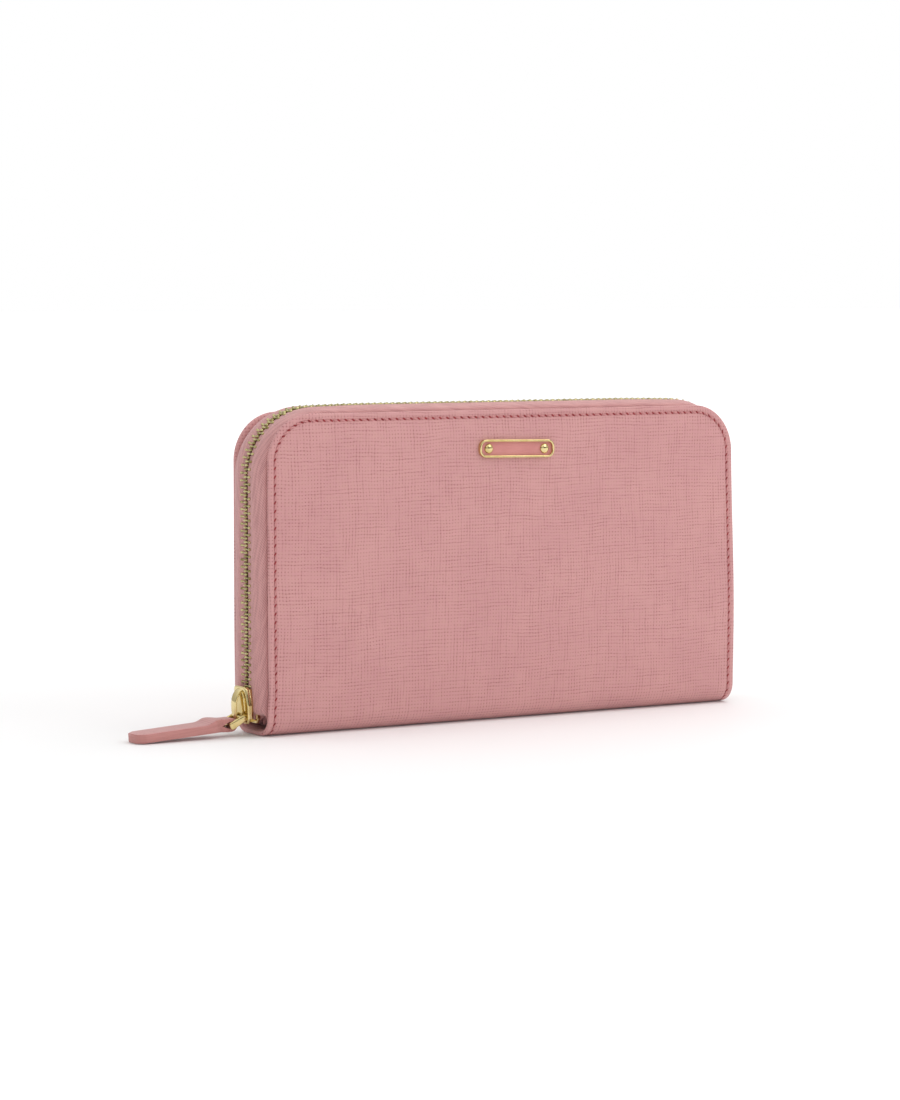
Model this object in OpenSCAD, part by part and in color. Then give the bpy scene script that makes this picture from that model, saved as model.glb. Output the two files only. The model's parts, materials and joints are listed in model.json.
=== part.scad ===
// Zip-around wallet: two leather covers joined by a folded base, and closed by a metal
// zip along the left side, the top and the right side. A zipped coin pocket stands
// between the covers, and each cover carries card slots on its inside.
// +X runs along the width, +Y to the back and +Z up. The origin is the middle of the
// base, on the surface that the wallet stands on. All sizes are in millimetres.

/* [Covers] */
// Width of the covers, edge to edge
wallet_w = 188; // [170:1:210]
// Height of the covers
wallet_h = 106; // [98:1:120]
// Thickness of the closed wallet over its covers
wallet_d = 24; // [24:0.5:30]
// Corner radius at the top of a cover
top_r = 17; // [12:1:24]
// Corner radius of the leather where it turns round the base
base_r = 1.5; // [1:0.5:6]
// Outer radius of the fold from a cover into the base
fold_r = 7; // [5:0.5:8]
// Thickness of the outer leather
leather_t = 2; // [1.5:0.1:2.2]
// Distance from a cover's edge to its row of stitches
stitch_inset = 2.4; // [2:0.1:4]

/* [Zip] */
// How far the teeth stand out past the covers' edges
teeth_out = 2.2; // [2.1:0.1:3.2]
// Width of one row of teeth
teeth_w = 2.3; // [1.8:0.1:2.4]
// Length of the slider
slider_len = 12.5; // [10:0.5:14]
// Height of the slider's lower end when the zip is closed
slider_z = 3.9; // [3.6:0.1:6]
// Width of the slider's plates at their widest
slider_w = 10; // [9:0.5:11]
// Distance between the two bars of the slider's link
link_len = 4.2; // [4:0.1:6]
// Length of the leather pull, from the link to its tip
pull_len = 35; // [30:0.5:45]
// Width of the leather pull
pull_w = 10; // [8:0.5:14]
// Thickness of the leather pull
pull_t = 3; // [2:0.1:3.2]

/* [Nameplate] */
// Length of the metal frame on the front
plate_w = 29.8; // [20:0.5:40]
// Height of the metal frame
plate_h = 6.1; // [5:0.1:10]
// How far the frame stands out from the leather
plate_t = 1.8; // [1:0.1:2.5]
// Distance between the two rivets
rivet_gap = 22.3; // [15:0.1:24]

/* [Inside] */
// Thickness of one card slot leaf
leaf_t = 0.35; // [0.3:0.01:0.35]
// Height of the tallest card slot leaf's top edge
leaf_top = 86; // [70:1:88]
// Step down from one leaf's top edge to the next
leaf_step = 11; // [8:1:12]
// Height of the coin pocket's top edge
coin_top = 82; // [60:1:82]
// Half the thickness of the coin pocket
coin_half = 2.9; // [2.9:0.05:3]

/* [Hidden] */
$fn = 64;

// half of the width and half of the thickness
hw = wallet_w / 2;
hd = wallet_d / 2;
// gap kept between the front cover and what it turns away from
gap = 0.3;
// clearance of a pin in its bore, on the radius
pin_clear = 0.08;

// inner face of the outer leather
inner_y = hd - leather_t;
thread_t = 0.3;
// layers on each cover's inside, as distances from the middle plane
board_y = [inner_y - 0.8, inner_y - 0.1];
lining_y = [inner_y - 1.3, inner_y - 0.9];
leaf_pitch = leaf_t + 0.01;
lining_z = fold_r + 2;

// the tape is sewn between leather and lining, and arches out past the covers' edge
tape_t = 0.5;
tape_sewn = 5;
tape_edge = teeth_w + 0.6;
teeth_mid = 0.6;
teeth_in = 0.3;
sewn_z = 8;
zip_end_z = 3.2;
front_row_z = slider_z + slider_len + 1.4;

// slider plates, as distances out from the covers' edge
plate_in = [-1.0, 0.1];
plate_out = [teeth_out + 0.3, teeth_out + 1.4];
// the link's inner bar turns in the slider's bridge, its outer bar in the pull
bar_r = 0.7;
link_in = [-hw - plate_out[1] - 1.15, slider_z + 1.9];
link_angle = 28;
link_out = link_in + link_len * [-cos(link_angle), -sin(link_angle)];
link_inside = 5.8;
link_side_t = 1.2;
link_side_r = 0.9;
// the pull slopes down from the link until its tip touches the ground
pull_slope = asin((link_out[1] - pull_t / 2 - 0.02) / pull_len);

plate_mid = [1.5, wallet_h - 13.3];
plate_rim = 0.75;
rivet_r = 1.55;

coin_w = wallet_w - 18;
coin_base = 8;
coin_t = 0.6;
coin_slider_len = 7.5;
coin_teeth_z = coin_top - 1.2;

leather = [0.80, 0.59, 0.575];
leather_dark = [0.66, 0.43, 0.42];
lining_c = [0.72, 0.50, 0.50];
tape_c = [0.74, 0.53, 0.54];
brass = [0.72, 0.62, 0.38];
gold = [0.90, 0.74, 0.40];
thread = [0.70, 0.33, 0.36];
board_c = [0.55, 0.52, 0.48];

// a solid with the children's outline, seen from the front, from y0 to y1
module across(y0, y1) {
    translate([0, y1, 0]) rotate([90, 0, 0]) linear_extrude(y1 - y0) children();
}

// a solid with the children's section, seen from the right side, from x0 to x1
module along_x(x0, x1) {
    translate([x0, 0, 0]) rotate([90, 0, 90]) linear_extrude(x1 - x0) children();
}

// a box between two opposite corners
module block(lo, hi) {
    translate(lo) cube(hi - lo);
}

// the front part for s = -1, and its mirror image at the back for s = 1
module side(s) {
    mirror([0, s > 0 ? 1 : 0, 0]) children();
}

// what a rounded corner of radius r leaves out, towards sx and sz of its centre
module corner_cut(x, z, r, sx, sz) {
    difference() {
        translate([x + (sx > 0 ? 0 : -r - 1), z + (sz > 0 ? 0 : -r - 1)]) square(r + 1);
        translate([x, z]) circle(r);
    }
}

// outline of a cover seen from the front, drawn in by inset
module cover_outline(inset) {
    x = hw - inset;
    rt = top_r - inset;
    rb = max(base_r - inset, 1);
    difference() {
        translate([-x, inset]) square([2 * x, wallet_h - 2 * inset]);
        for (s = [-1, 1]) {
            corner_cut(s * (x - rt), wallet_h - inset - rt, rt, s, 1);
            corner_cut(s * (x - rb), inset + rb, rb, s, -1);
        }
    }
}

// section of the closed wallet seen from the side, drawn in by inset
module fold_outline(inset) {
    y = hd - inset;
    r = fold_r - inset;
    translate([-y, fold_r]) square([2 * y, wallet_h]);
    translate([-hd + fold_r, inset]) square([2 * (hd - fold_r), fold_r]);
    for (s = [-1, 1]) translate([s * (hd - fold_r), fold_r]) circle(r);
}

// a line at the stitches' place round the front cover, from y0 to y1
module seam(y0, y1) {
    intersection() {
        across(y0, y1) difference() {
            cover_outline(stitch_inset);
            cover_outline(stitch_inset + 0.6);
        }
        block([-wallet_w, -wallet_d, fold_r + 1], [wallet_w, 0, wallet_h]);
    }
}

// the outer leather, in one sheet from the front's top round the base to the back's top,
// with the groove that each cover's thread lies in
module outer_leather() {
    difference() {
        intersection() {
            along_x(-hw - 1, hw + 1) difference() {
                fold_outline(0);
                fold_outline(leather_t);
            }
            across(-hd - 1, hd + 1) cover_outline(0);
        }
        for (s = [-1, 1]) side(s) seam(-hd - 1, -hd + thread_t);
    }
}

module front_cover_leather() {
    color(leather) intersection() {
        outer_leather();
        block([-wallet_w, -wallet_d, fold_r + gap / 2], [wallet_w, 0, wallet_h + 1]);
    }
}

module front_fold_leather() {
    color(leather_dark) intersection() {
        outer_leather();
        block([-wallet_w, -wallet_d, -1], [wallet_w, -hd + fold_r, fold_r - gap / 2]);
    }
}

module back_leather() {
    color(leather) intersection() {
        outer_leather();
        block([-wallet_w, -hd + fold_r, -1], [wallet_w, wallet_d, wallet_h + 1]);
    }
}

// one layer on the front cover's inside, mirrored for the back cover's
module inner_layer(y, inset, s) {
    side(s) intersection() {
        across(-y[1], -y[0]) cover_outline(inset);
        block([-wallet_w, -wallet_d, lining_z], [wallet_w, 0, wallet_h]);
    }
}

module board(s) {
    color(board_c) inner_layer(board_y, 6, s);
}

module lining(s) {
    color(lining_c) inner_layer(lining_y, 3.5, s);
}

module spine_board() {
    color(board_c) block([-hw + 10, -4.5, leather_t + 0.05], [hw - 10, 4.5, leather_t + 0.65]);
}

module spine_lining() {
    color(lining_c) block([-hw + 9, -6, leather_t + 0.75], [hw - 9, 6, leather_t + 1.15]);
}

// card slot leaf n: 1 is the tallest and lies on the lining, 4 is the shortest
module card_leaf(n, s) {
    y = -lining_y[0] + 0.05 + (n - 1) * leaf_pitch;
    top = leaf_top - (n - 1) * leaf_step;
    color(lining_c) side(s) block([-hw + 5, y, 12], [hw - 5, y + leaf_t, top]);
}

// the thread line round a cover, from fold to fold, level with the leather
module stitching(s) {
    color(thread) side(s) seam(-hd, -hd + thread_t);
}

// sweeps a section of [distance out, y] up the left side, over the top, down the right
module along_zip(z_left, z_right) {
    zc = wallet_h - top_r;
    xc = hw - top_r;
    translate([hw, 0, z_right]) linear_extrude(zc - z_right) children();
    mirror([1, 0, 0]) translate([hw, 0, z_left]) linear_extrude(zc - z_left) children();
    translate([0, 0, wallet_h]) rotate([0, -90, 0]) linear_extrude(2 * xc, center = true) children();
    for (s = [0, 1]) mirror([s, 0, 0]) translate([xc, 0, zc]) rotate([90, 0, 0])
        rotate_extrude(angle = 90) mirror([0, 1]) translate([top_r, 0]) children();
}

// a straight length of the same section on one side: s = -1 is the left, s = 1 the right
module zip_end(s, z0, z1) {
    mirror([s > 0 ? 0 : 1, 0, 0]) translate([hw, 0, z0]) linear_extrude(z1 - z0) children();
}

module tape_section() {
    y = inner_y - 0.05;
    polygon([
        [-tape_sewn, -y], [-tape_sewn, -y + tape_t], [0, -y + tape_t], [0.5, -y + 1.35],
        [0.7, -tape_edge], [0.7 + tape_t, -tape_edge], [1, -y + 1.15], [0.2, -y]
    ]);
}

// below sewn_z the tape is free of the cover and narrower
module tape_end_section() {
    polygon([[0.55, -7], [0.7, -tape_edge], [0.7 + tape_t, -tape_edge], [0.55 + tape_t, -7]]);
}

module teeth_section() {
    translate([teeth_in, -teeth_mid - teeth_w]) square([teeth_out - teeth_in, teeth_w]);
}

module front_zip_tape() {
    color(tape_c) along_zip(front_row_z, sewn_z) tape_section();
}

module front_zip_teeth() {
    color(brass) along_zip(front_row_z, sewn_z) teeth_section();
}

module back_zip_tape() {
    color(tape_c) side(1) {
        along_zip(sewn_z, sewn_z) tape_section();
        for (s = [-1, 1]) zip_end(s, zip_end_z, sewn_z) tape_end_section();
    }
}

module back_zip_teeth() {
    color(brass) side(1) along_zip(zip_end_z, zip_end_z) teeth_section();
}

module front_tape_end_left() {
    color(tape_c) {
        zip_end(-1, sewn_z, front_row_z - gap) tape_section();
        zip_end(-1, zip_end_z, sewn_z) tape_end_section();
    }
}

module front_tape_end_right() {
    color(tape_c) zip_end(1, zip_end_z, sewn_z - gap) tape_end_section();
}

module front_teeth_end(s, z1) {
    color(brass) zip_end(s, zip_end_z, z1 - gap) teeth_section();
}

// the metal clip that joins the two rows below the last tooth
module zip_stop(s) {
    color(brass) zip_end(s, zip_end_z - 1.5, zip_end_z - 0.1)
        translate([0.4, -2.6]) square([teeth_out - 0.5, 5.2]);
}

// a pleated end panel between the covers
module gusset(s) {
    folds = 6;
    depth = 4;
    t = 0.45;
    y0 = inner_y - 2.9;
    x0 = hw - 3.4;
    out = [for (i = [0:folds]) [x0 - (i % 2) * depth, -y0 + 2 * y0 * i / folds]];
    back = [for (i = [folds:-1:0]) [x0 - (i % 2) * depth - t, -y0 + 2 * y0 * i / folds]];
    color(lining_c) mirror([s > 0 ? 0 : 1, 0, 0]) translate([0, 0, lining_z])
        linear_extrude(66) polygon(concat(out, back));
}

// a rectangle with round corners, about the middle of the nameplate
module plate_outline(inset) {
    r = 1.8 - inset;
    x = plate_w / 2 - inset - r;
    z = plate_h / 2 - inset - r;
    translate(plate_mid) {
        square([2 * x + 2 * r, 2 * z], center = true);
        square([2 * x, 2 * z + 2 * r], center = true);
        for (i = [-1, 1], k = [-1, 1]) translate([i * x, k * z]) circle(r);
    }
}

module nameplate_frame() {
    color(gold) {
        across(-hd - plate_t, -hd) difference() {
            plate_outline(0);
            plate_outline(plate_rim);
        }
        across(-hd - 0.5, -hd) plate_outline(plate_rim - 0.01);
    }
}

module nameplate_inlay() {
    color(leather_dark) across(-hd - 0.9, -hd - 0.5) difference() {
        plate_outline(plate_rim + 0.02);
        for (s = [-1, 1]) translate(plate_mid + [s * rivet_gap / 2, 0]) circle(0.8);
    }
}

// a domed head on a short shank
module nameplate_rivet(s) {
    dome_r = 2.2;
    sink = sqrt(dome_r * dome_r - rivet_r * rivet_r);
    color(gold) translate([plate_mid[0] + s * rivet_gap / 2, -hd - 0.5, plate_mid[1]])
        rotate([90, 0, 0]) {
            cylinder(h = 0.4, r = 0.78);
            translate([0, 0, 0.4]) intersection() {
                translate([0, 0, -sink]) sphere(dome_r);
                cylinder(h = 2, r = rivet_r);
            }
        }
}

module coin_panel(s) {
    color(lining_c) side(s)
        block([-coin_w / 2, -coin_half, coin_base], [coin_w / 2, -coin_half + coin_t, coin_top]);
}

// the band that joins the pocket's two panels down both ends and along the bottom
module coin_frame() {
    y = coin_half - coin_t;
    color(lining_c) difference() {
        block([-coin_w / 2, -y, coin_base], [coin_w / 2, y, coin_top - 1.5]);
        block([-coin_w / 2 + coin_t, -y - 1, coin_base + coin_t], [coin_w / 2 - coin_t, y + 1, coin_top]);
    }
}

module coin_tape(s) {
    y = coin_half - coin_t;
    color(tape_c) side(s)
        block([-coin_w / 2 + 1, -y, coin_teeth_z - 0.2], [coin_w / 2 - 1, -1.4, coin_teeth_z + 0.2]);
}

module coin_teeth(s) {
    color(brass) side(s)
        block([-coin_w / 2 + 3, -1.4, coin_teeth_z - 0.8], [coin_w / 2 - 3, -0.5, coin_teeth_z + 0.8]);
}

module coin_stop(s) {
    x = s * (coin_w / 2 - 2.1);
    color(brass) block([x - 0.7, -1.3, coin_teeth_z - 0.7], [x + 0.7, 1.3, coin_teeth_z + 0.7]);
}

// two plates over and under the rows, joined by a post between them, with an eye on top
module coin_slider() {
    x0 = -coin_w / 2 + 3.5;
    x1 = x0 + coin_slider_len;
    eye = [x0 + 2.4, coin_teeth_z + 3];
    color(gold) {
        for (z = [coin_teeth_z - 1.8, coin_teeth_z + 1])
            block([x0, -2.1, z], [x1, 2.1, z + 0.8]);
        block([x0, -0.3, coin_teeth_z - 1.2], [x0 + 2.4, 0.3, coin_teeth_z + 1.2]);
        difference() {
            block([x0 + 0.8, -0.6, coin_teeth_z + 1.7], [x0 + 4.4, 0.6, coin_teeth_z + 4.2]);
            translate([eye[0], 1, eye[1]]) rotate([90, 0, 0]) cylinder(h = 2, r = 0.6 + pin_clear);
        }
    }
}

// a flat tab with a fork that turns on a pin through the slider's eye
module coin_pull() {
    x0 = -coin_w / 2 + 3.5 + 2.4;
    z0 = coin_teeth_z + 3;
    color(gold) {
        translate([x0, 1.9, z0]) rotate([90, 0, 0]) cylinder(h = 3.8, r = 0.6);
        for (s = [0, 1]) mirror([0, s, 0]) block([x0 - 0.6, 0.9, z0 - 0.6], [x0 + 4.5, 1.9, z0 + 0.6]);
        translate([x0 + 4, 0, z0 - 0.6]) linear_extrude(1.2) union() {
            translate([0, -1.9]) square([9, 3.8]);
            translate([9, 0]) circle(1.9);
        }
    }
}

// outline of a slider plate, seen from the left side, as [y, z]
module slider_outline(inset) {
    w = slider_w / 2 - inset;
    tail = slider_w * 0.375 - inset;
    z1 = slider_z + slider_len;
    polygon([
        [-tail, z1], [tail, z1], [w, z1 - 6], [w, slider_z + 1.6], [w - 1, slider_z],
        [-w + 1, slider_z], [-w, slider_z + 1.6], [-w, z1 - 6]
    ]);
}

// the slider: two plates, the post that parts the rows, and flanges that hold the rows in
module zip_slider_body() {
    flange = 0.7;
    color(gold) {
        along_x(-hw - plate_out[1], -hw - plate_out[0]) slider_outline(0);
        along_x(-hw - plate_in[1], -hw - plate_in[0]) slider_outline(0);
        block([-hw - plate_out[0], -0.45, slider_z], [-hw - plate_in[1], 0.45, slider_z + 4]);
        for (n = [[plate_in[1], 0.5], [1.5, plate_out[0]]])
            along_x(-hw - n[1], -hw - n[0]) difference() {
                slider_outline(0);
                slider_outline(flange);
                translate([-3.5, slider_z - 1]) square([7, slider_len + 2]);
            }
    }
}

// the raised bridge on the slider that holds the link's inner bar
module zip_slider_bridge() {
    x = -hw - plate_out[1];
    color(gold) difference() {
        translate([0, 1.6, 0]) rotate([90, 0, 0]) linear_extrude(3.2) polygon([
            [x, slider_z + 9.6], [x - 1.5, slider_z + 9], [x - 2.5, slider_z + 7],
            [x - 2.5, slider_z + 1.6], [x - 1.9, slider_z + 0.4], [x, slider_z + 0.4]
        ]);
        translate([link_in[0], 3, link_in[1]]) rotate([90, 0, 0]) cylinder(h = 6, r = bar_r + pin_clear);
    }
}

// a bar along Y at a place [x, z]
module bar(at, r, width) {
    translate([at[0], width / 2, at[1]]) rotate([90, 0, 0]) cylinder(h = width, r = r);
}

// one flat side of the link, round at both ends
module link_side() {
    translate([link_in[0], 0, link_in[1]]) rotate([0, -link_angle, 0]) rotate([90, 0, 0])
        translate([0, 0, -link_side_t]) linear_extrude(link_side_t) {
            circle(link_side_r);
            translate([-link_len, 0]) circle(link_side_r);
            translate([-link_len, -link_side_r]) square([link_len, 2 * link_side_r]);
        }
}

// the link: a bar in the slider's bridge, a bar in the pull, and two flat sides
module zip_link() {
    color(gold) {
        bar(link_in, bar_r, link_inside + 2 * link_side_t);
        bar(link_out, bar_r, link_inside + 2 * link_side_t);
        for (s = [0, 1]) mirror([0, s, 0]) translate([0, link_inside / 2, 0]) link_side();
    }
}

// the leather strap that loops round the link's outer bar and lies down to its tip
module zip_pull() {
    loop_w = link_inside - 0.4;
    tip = 2.2;
    color(leather) translate([link_out[0], 0, link_out[1]]) rotate([0, -pull_slope, 0]) difference() {
        union() {
            translate([0, 0, -pull_t / 2]) linear_extrude(pull_t) polygon([
                [0, loop_w / 2], [-3.5, loop_w / 2], [-6.5, pull_w / 2],
                [-pull_len + tip, pull_w / 2], [-pull_len, pull_w / 2 - tip],
                [-pull_len, -pull_w / 2 + tip], [-pull_len + tip, -pull_w / 2],
                [-6.5, -pull_w / 2], [-3.5, -loop_w / 2], [0, -loop_w / 2]
            ]);
            rotate([90, 0, 0]) cylinder(h = loop_w, r = 2.2, center = true);
        }
        rotate([90, 0, 0]) cylinder(h = loop_w + 2, r = bar_r + pin_clear, center = true);
    }
}

back_leather();
front_fold_leather();
front_cover_leather();
board(1);  // back_board
board(-1);  // front_board
spine_board();
lining(1);  // back_lining
lining(-1);  // front_lining
spine_lining();
card_leaf(1, 1);  // back_card_leaf_1
card_leaf(2, 1);  // back_card_leaf_2
card_leaf(3, 1);  // back_card_leaf_3
card_leaf(4, 1);  // back_card_leaf_4
card_leaf(1, -1);  // front_card_leaf_1
card_leaf(2, -1);  // front_card_leaf_2
card_leaf(3, -1);  // front_card_leaf_3
card_leaf(4, -1);  // front_card_leaf_4
stitching(1);  // back_cover_stitching
stitching(-1);  // front_cover_stitching
back_zip_tape();
front_zip_tape();
front_tape_end_left();
front_tape_end_right();
back_zip_teeth();
front_zip_teeth();
front_teeth_end(-1, front_row_z);  // front_teeth_end_left
front_teeth_end(1, sewn_z);  // front_teeth_end_right
zip_stop(-1);  // zip_stop_left
zip_stop(1);  // zip_stop_right
gusset(-1);  // left_gusset
gusset(1);  // right_gusset
nameplate_frame();
nameplate_inlay();
nameplate_rivet(-1);  // nameplate_rivet_left
nameplate_rivet(1);  // nameplate_rivet_right
coin_panel(-1);  // coin_front_panel
coin_panel(1);  // coin_back_panel
coin_frame();
coin_tape(-1);  // coin_front_tape
coin_tape(1);  // coin_back_tape
coin_teeth(-1);  // coin_front_teeth
coin_teeth(1);  // coin_back_teeth
coin_stop(-1);  // coin_stop_left
coin_stop(1);  // coin_stop_right
coin_slider();
coin_pull();
zip_slider_body();
zip_slider_bridge();
zip_link();
zip_pull();
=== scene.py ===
"""The wallet's visual model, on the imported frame. Sizes are millimetres, and become metres in build()."""

import json
import math

import bmesh
import bpy
import numpy as np
from mathutils import Matrix, Vector


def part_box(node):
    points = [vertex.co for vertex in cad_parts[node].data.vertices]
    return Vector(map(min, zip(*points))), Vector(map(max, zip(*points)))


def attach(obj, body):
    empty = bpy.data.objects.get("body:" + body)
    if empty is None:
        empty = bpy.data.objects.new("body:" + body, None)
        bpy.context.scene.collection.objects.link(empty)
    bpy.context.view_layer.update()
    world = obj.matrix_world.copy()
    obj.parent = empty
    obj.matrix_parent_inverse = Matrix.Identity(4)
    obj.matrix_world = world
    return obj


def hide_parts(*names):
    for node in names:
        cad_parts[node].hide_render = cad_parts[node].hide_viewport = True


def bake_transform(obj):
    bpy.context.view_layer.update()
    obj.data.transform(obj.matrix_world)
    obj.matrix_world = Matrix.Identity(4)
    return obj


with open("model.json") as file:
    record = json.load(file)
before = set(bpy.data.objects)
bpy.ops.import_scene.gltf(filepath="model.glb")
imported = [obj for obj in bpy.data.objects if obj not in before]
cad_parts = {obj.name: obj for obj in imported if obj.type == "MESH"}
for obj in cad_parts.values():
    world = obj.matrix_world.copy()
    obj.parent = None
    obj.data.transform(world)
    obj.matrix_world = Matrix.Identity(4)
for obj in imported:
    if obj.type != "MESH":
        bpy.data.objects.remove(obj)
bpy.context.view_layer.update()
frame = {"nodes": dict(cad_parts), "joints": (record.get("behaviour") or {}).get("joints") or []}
MM = 0.001
TINY = 1e-9


def box_mm(node):
    """Lowest and highest corner of a CAD node, in millimetres."""
    lo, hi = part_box(node)
    return np.array(lo) / MM, np.array(hi) / MM


def layer_mm(node):
    """The distances of a node's two faces from the middle plane, the nearer one first."""
    return sorted(abs(corner[1]) for corner in box_mm(node))


def joint_mm(name):
    """The place of a hinge, in millimetres."""
    return np.array(next(j for j in frame["joints"] if j["name"] == name)["pos_m"]) / MM


# The covers: half the width, the height, the thicknesses and the fold come from the CAD.
cover_lo, cover_hi = box_mm("front_cover_leather")
HALF_W = cover_hi[0]
TOP = cover_hi[2]
FACE_Y = -cover_lo[1]
LEATHER = cover_hi[1] - cover_lo[1]
INNER_Y = FACE_Y - LEATHER
FOLD_Y = -joint_mm("front_cover_hinge")[1]
FOLD_R = joint_mm("front_cover_hinge")[2]
FOLD_ARC = FOLD_R * math.pi / 2
SHEET_END = FOLD_Y + FOLD_ARC + TOP - FOLD_R
TOP_R = 16.0
BASE_IN = 0.35
STITCH_INSET = 2.4
STITCH_PITCH = 2.8
NAMEPLATE_TURN = 1.1

# The zips: the main one turns in below ZIP_TURN_Z, and rises a little over the middle of the top.
TOOTH_PITCH = 2.38
TOOTH_START = 0.8
ZIP_TURN_Z = 9.0
ZIP_TURN_R = 5.0
ZIP_TURN = 50
ZIP_CORNER_R = 21.0
ZIP_CROWN = 0.5
COIN_TRAVEL = 155.0
COIN_ZIP_SIZE = 0.45


# ---------------------------------------------------------------- mesh helpers

def smoothstep(lo, hi, x):
    t = np.clip((np.asarray(x, float) - lo) / (hi - lo), 0, 1)
    return t * t * (3 - 2 * t)


def spread(x, y, z):
    """Points from three columns. A column may be one number."""
    return np.column_stack(np.broadcast_arrays(x, y, z))


def travel(path):
    """The distance along a path at each of its points."""
    return np.concatenate([[0], np.cumsum(np.linalg.norm(np.diff(path, axis=0), axis=1))])


def joined(parts):
    """All points and all faces of a list of (points, faces)."""
    points, faces, start = [], [], 0
    for part_points, part_faces in parts:
        points.append(np.asarray(part_points, float).reshape(-1, 3))
        faces += [[i + start for i in face] for face in part_faces]
        start += len(points[-1])
    return np.vstack(points), faces


def place_in_scene(name, data):
    made = bpy.data.objects.new(name, data)
    bpy.context.scene.collection.objects.link(made)
    return made


def clean(mesh, sharp):
    """Drops empty faces, turns all faces outwards, and smooths the edges flatter than sharp degrees."""
    work = bmesh.new()
    work.from_mesh(mesh)
    bmesh.ops.dissolve_degenerate(work, dist=1e-7, edges=work.edges)
    bmesh.ops.recalc_face_normals(work, faces=work.faces)
    work.to_mesh(mesh)
    work.free()
    mesh.shade_smooth()
    mesh.set_sharp_from_angle(angle=math.radians(sharp))


def build(name, slot, parts, covers="", body=None, sharp=50, uvs=None, marks=None, indices=None):
    """One piece from a list of (points, faces), in millimetres. covers names the CAD nodes it replaces,
    and body is what it rides on. uvs holds one [u, v] a point, in units of 100 mm, or is taken from
    x and z. marks holds named numbers a point, and indices one material index a face."""
    points, faces = joined(parts)
    uvs = points[:, [0, 2]] / 100 if uvs is None else uvs
    mesh = bpy.data.meshes.new(name)
    mesh.from_pydata((points * MM).tolist(), [], faces)
    for material in LOOKS[slot]:
        mesh.materials.append(material)
    if indices is not None:
        mesh.polygons.foreach_set("material_index", np.asarray(indices, np.int32))
    for key, values in (marks or {}).items():
        mesh.attributes.new(key, "FLOAT", "POINT").data.foreach_set("value", np.asarray(values, np.float32))
    corner = np.zeros(len(mesh.loops), np.int32)
    mesh.loops.foreach_get("vertex_index", corner)
    mesh.uv_layers.new(name="flat").data.foreach_set("uv", np.asarray(uvs, np.float32)[corner].ravel())
    clean(mesh, sharp)
    made = place_in_scene(name, mesh)
    if covers:
        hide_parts(*covers.split())
    if body:
        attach(made, body)
    return made


def loft(sections, ring=False):
    """A tube through sections of equally many points, with flat ends, or closed on itself if ring."""
    sections = np.asarray(sections, float)
    m, k = sections.shape[:2]
    faces = []
    for i in range(m if ring else m - 1):
        a, b = i * k, (i + 1) % m * k
        faces += [[a + j, a + (j + 1) % k, b + (j + 1) % k, b + j] for j in range(k)]
    if not ring:
        faces += [list(range(k))[::-1], [(m - 1) * k + j for j in range(k)]]
    return sections.reshape(-1, 3), faces


def rounded(corners, radii, steps=5):
    """A closed outline through the corners, each rounded to its own radius."""
    corners = [np.array(c, float) for c in corners]
    out = []
    for i, p in enumerate(corners):
        a = corners[i - 1] - p
        b = corners[(i + 1) % len(corners)] - p
        a, b = a / np.linalg.norm(a), b / np.linalg.norm(b)
        half = math.acos(np.clip(a @ b, -1, 1)) / 2
        r = radii if np.isscalar(radii) else radii[i]
        centre = p + (a + b) / np.linalg.norm(a + b) * r / math.sin(half)
        first = p + a * r / math.tan(half) - centre
        last = p + b * r / math.tan(half) - centre
        start = math.atan2(first[1], first[0])
        turn = (math.atan2(last[1], last[0]) - start + math.pi) % (2 * math.pi) - math.pi
        for k in range(steps + 1):
            angle = start + turn * k / steps
            out.append(centre + r * np.array([math.cos(angle), math.sin(angle)]))
    return np.array(out)


def inset(outline, distance):
    """A closed outline drawn in by distance, whichever way it runs."""
    before, after = np.roll(outline, 1, 0), np.roll(outline, -1, 0)
    e0, e1 = outline - before, after - outline
    e0 /= np.maximum(np.linalg.norm(e0, axis=1, keepdims=True), 1e-9)
    e1 /= np.maximum(np.linalg.norm(e1, axis=1, keepdims=True), 1e-9)
    n0, n1 = np.stack([-e0[:, 1], e0[:, 0]], 1), np.stack([-e1[:, 1], e1[:, 0]], 1)
    n = n0 + n1
    n /= np.maximum((n * n0).sum(1, keepdims=True), 0.5)
    area = (outline[:, 0] * after[:, 1] - after[:, 0] * outline[:, 1]).sum()
    return outline + n * distance * (1 if area > 0 else -1)


def slab(outline, h0, h1, edge, place, steps=3):
    """A plate between heights h0 and h1 with rounded rims. place turns ([a, b], h) rows into points."""
    sections = []
    for k in range(steps + 1):
        angle = math.pi / 2 * k / steps
        sections.append((edge * (1 - math.sin(angle)), h0 + edge * (1 - math.cos(angle))))
    sections += [(d, h1 + h0 - h) for d, h in sections[::-1]]
    return loft([place(inset(outline, d) if d > 1e-6 else outline, h) for d, h in sections])


def rect(x0, y0, x1, y1, radii, steps=5):
    """A rounded rectangle, its corners in this order: (x0, y0), (x1, y0), (x1, y1), (x0, y1)."""
    return rounded([(x0, y0), (x1, y0), (x1, y1), (x0, y1)], radii, steps)


def even(half, radii, steps, flip=(-1, 1)):
    """A rounded outline whose second half mirrors the first."""
    half = np.array(half, float)
    return rounded([*half, *(half * flip)[::-1]], radii + radii[::-1], steps)


def unit(angles):
    """Points on a circle of radius 1."""
    return np.column_stack([np.cos(angles), np.sin(angles)])


def circle(count, start=0.0):
    """Even points all round a circle of radius 1."""
    return unit(np.linspace(0, 2 * math.pi, count, endpoint=False) + start)


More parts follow.
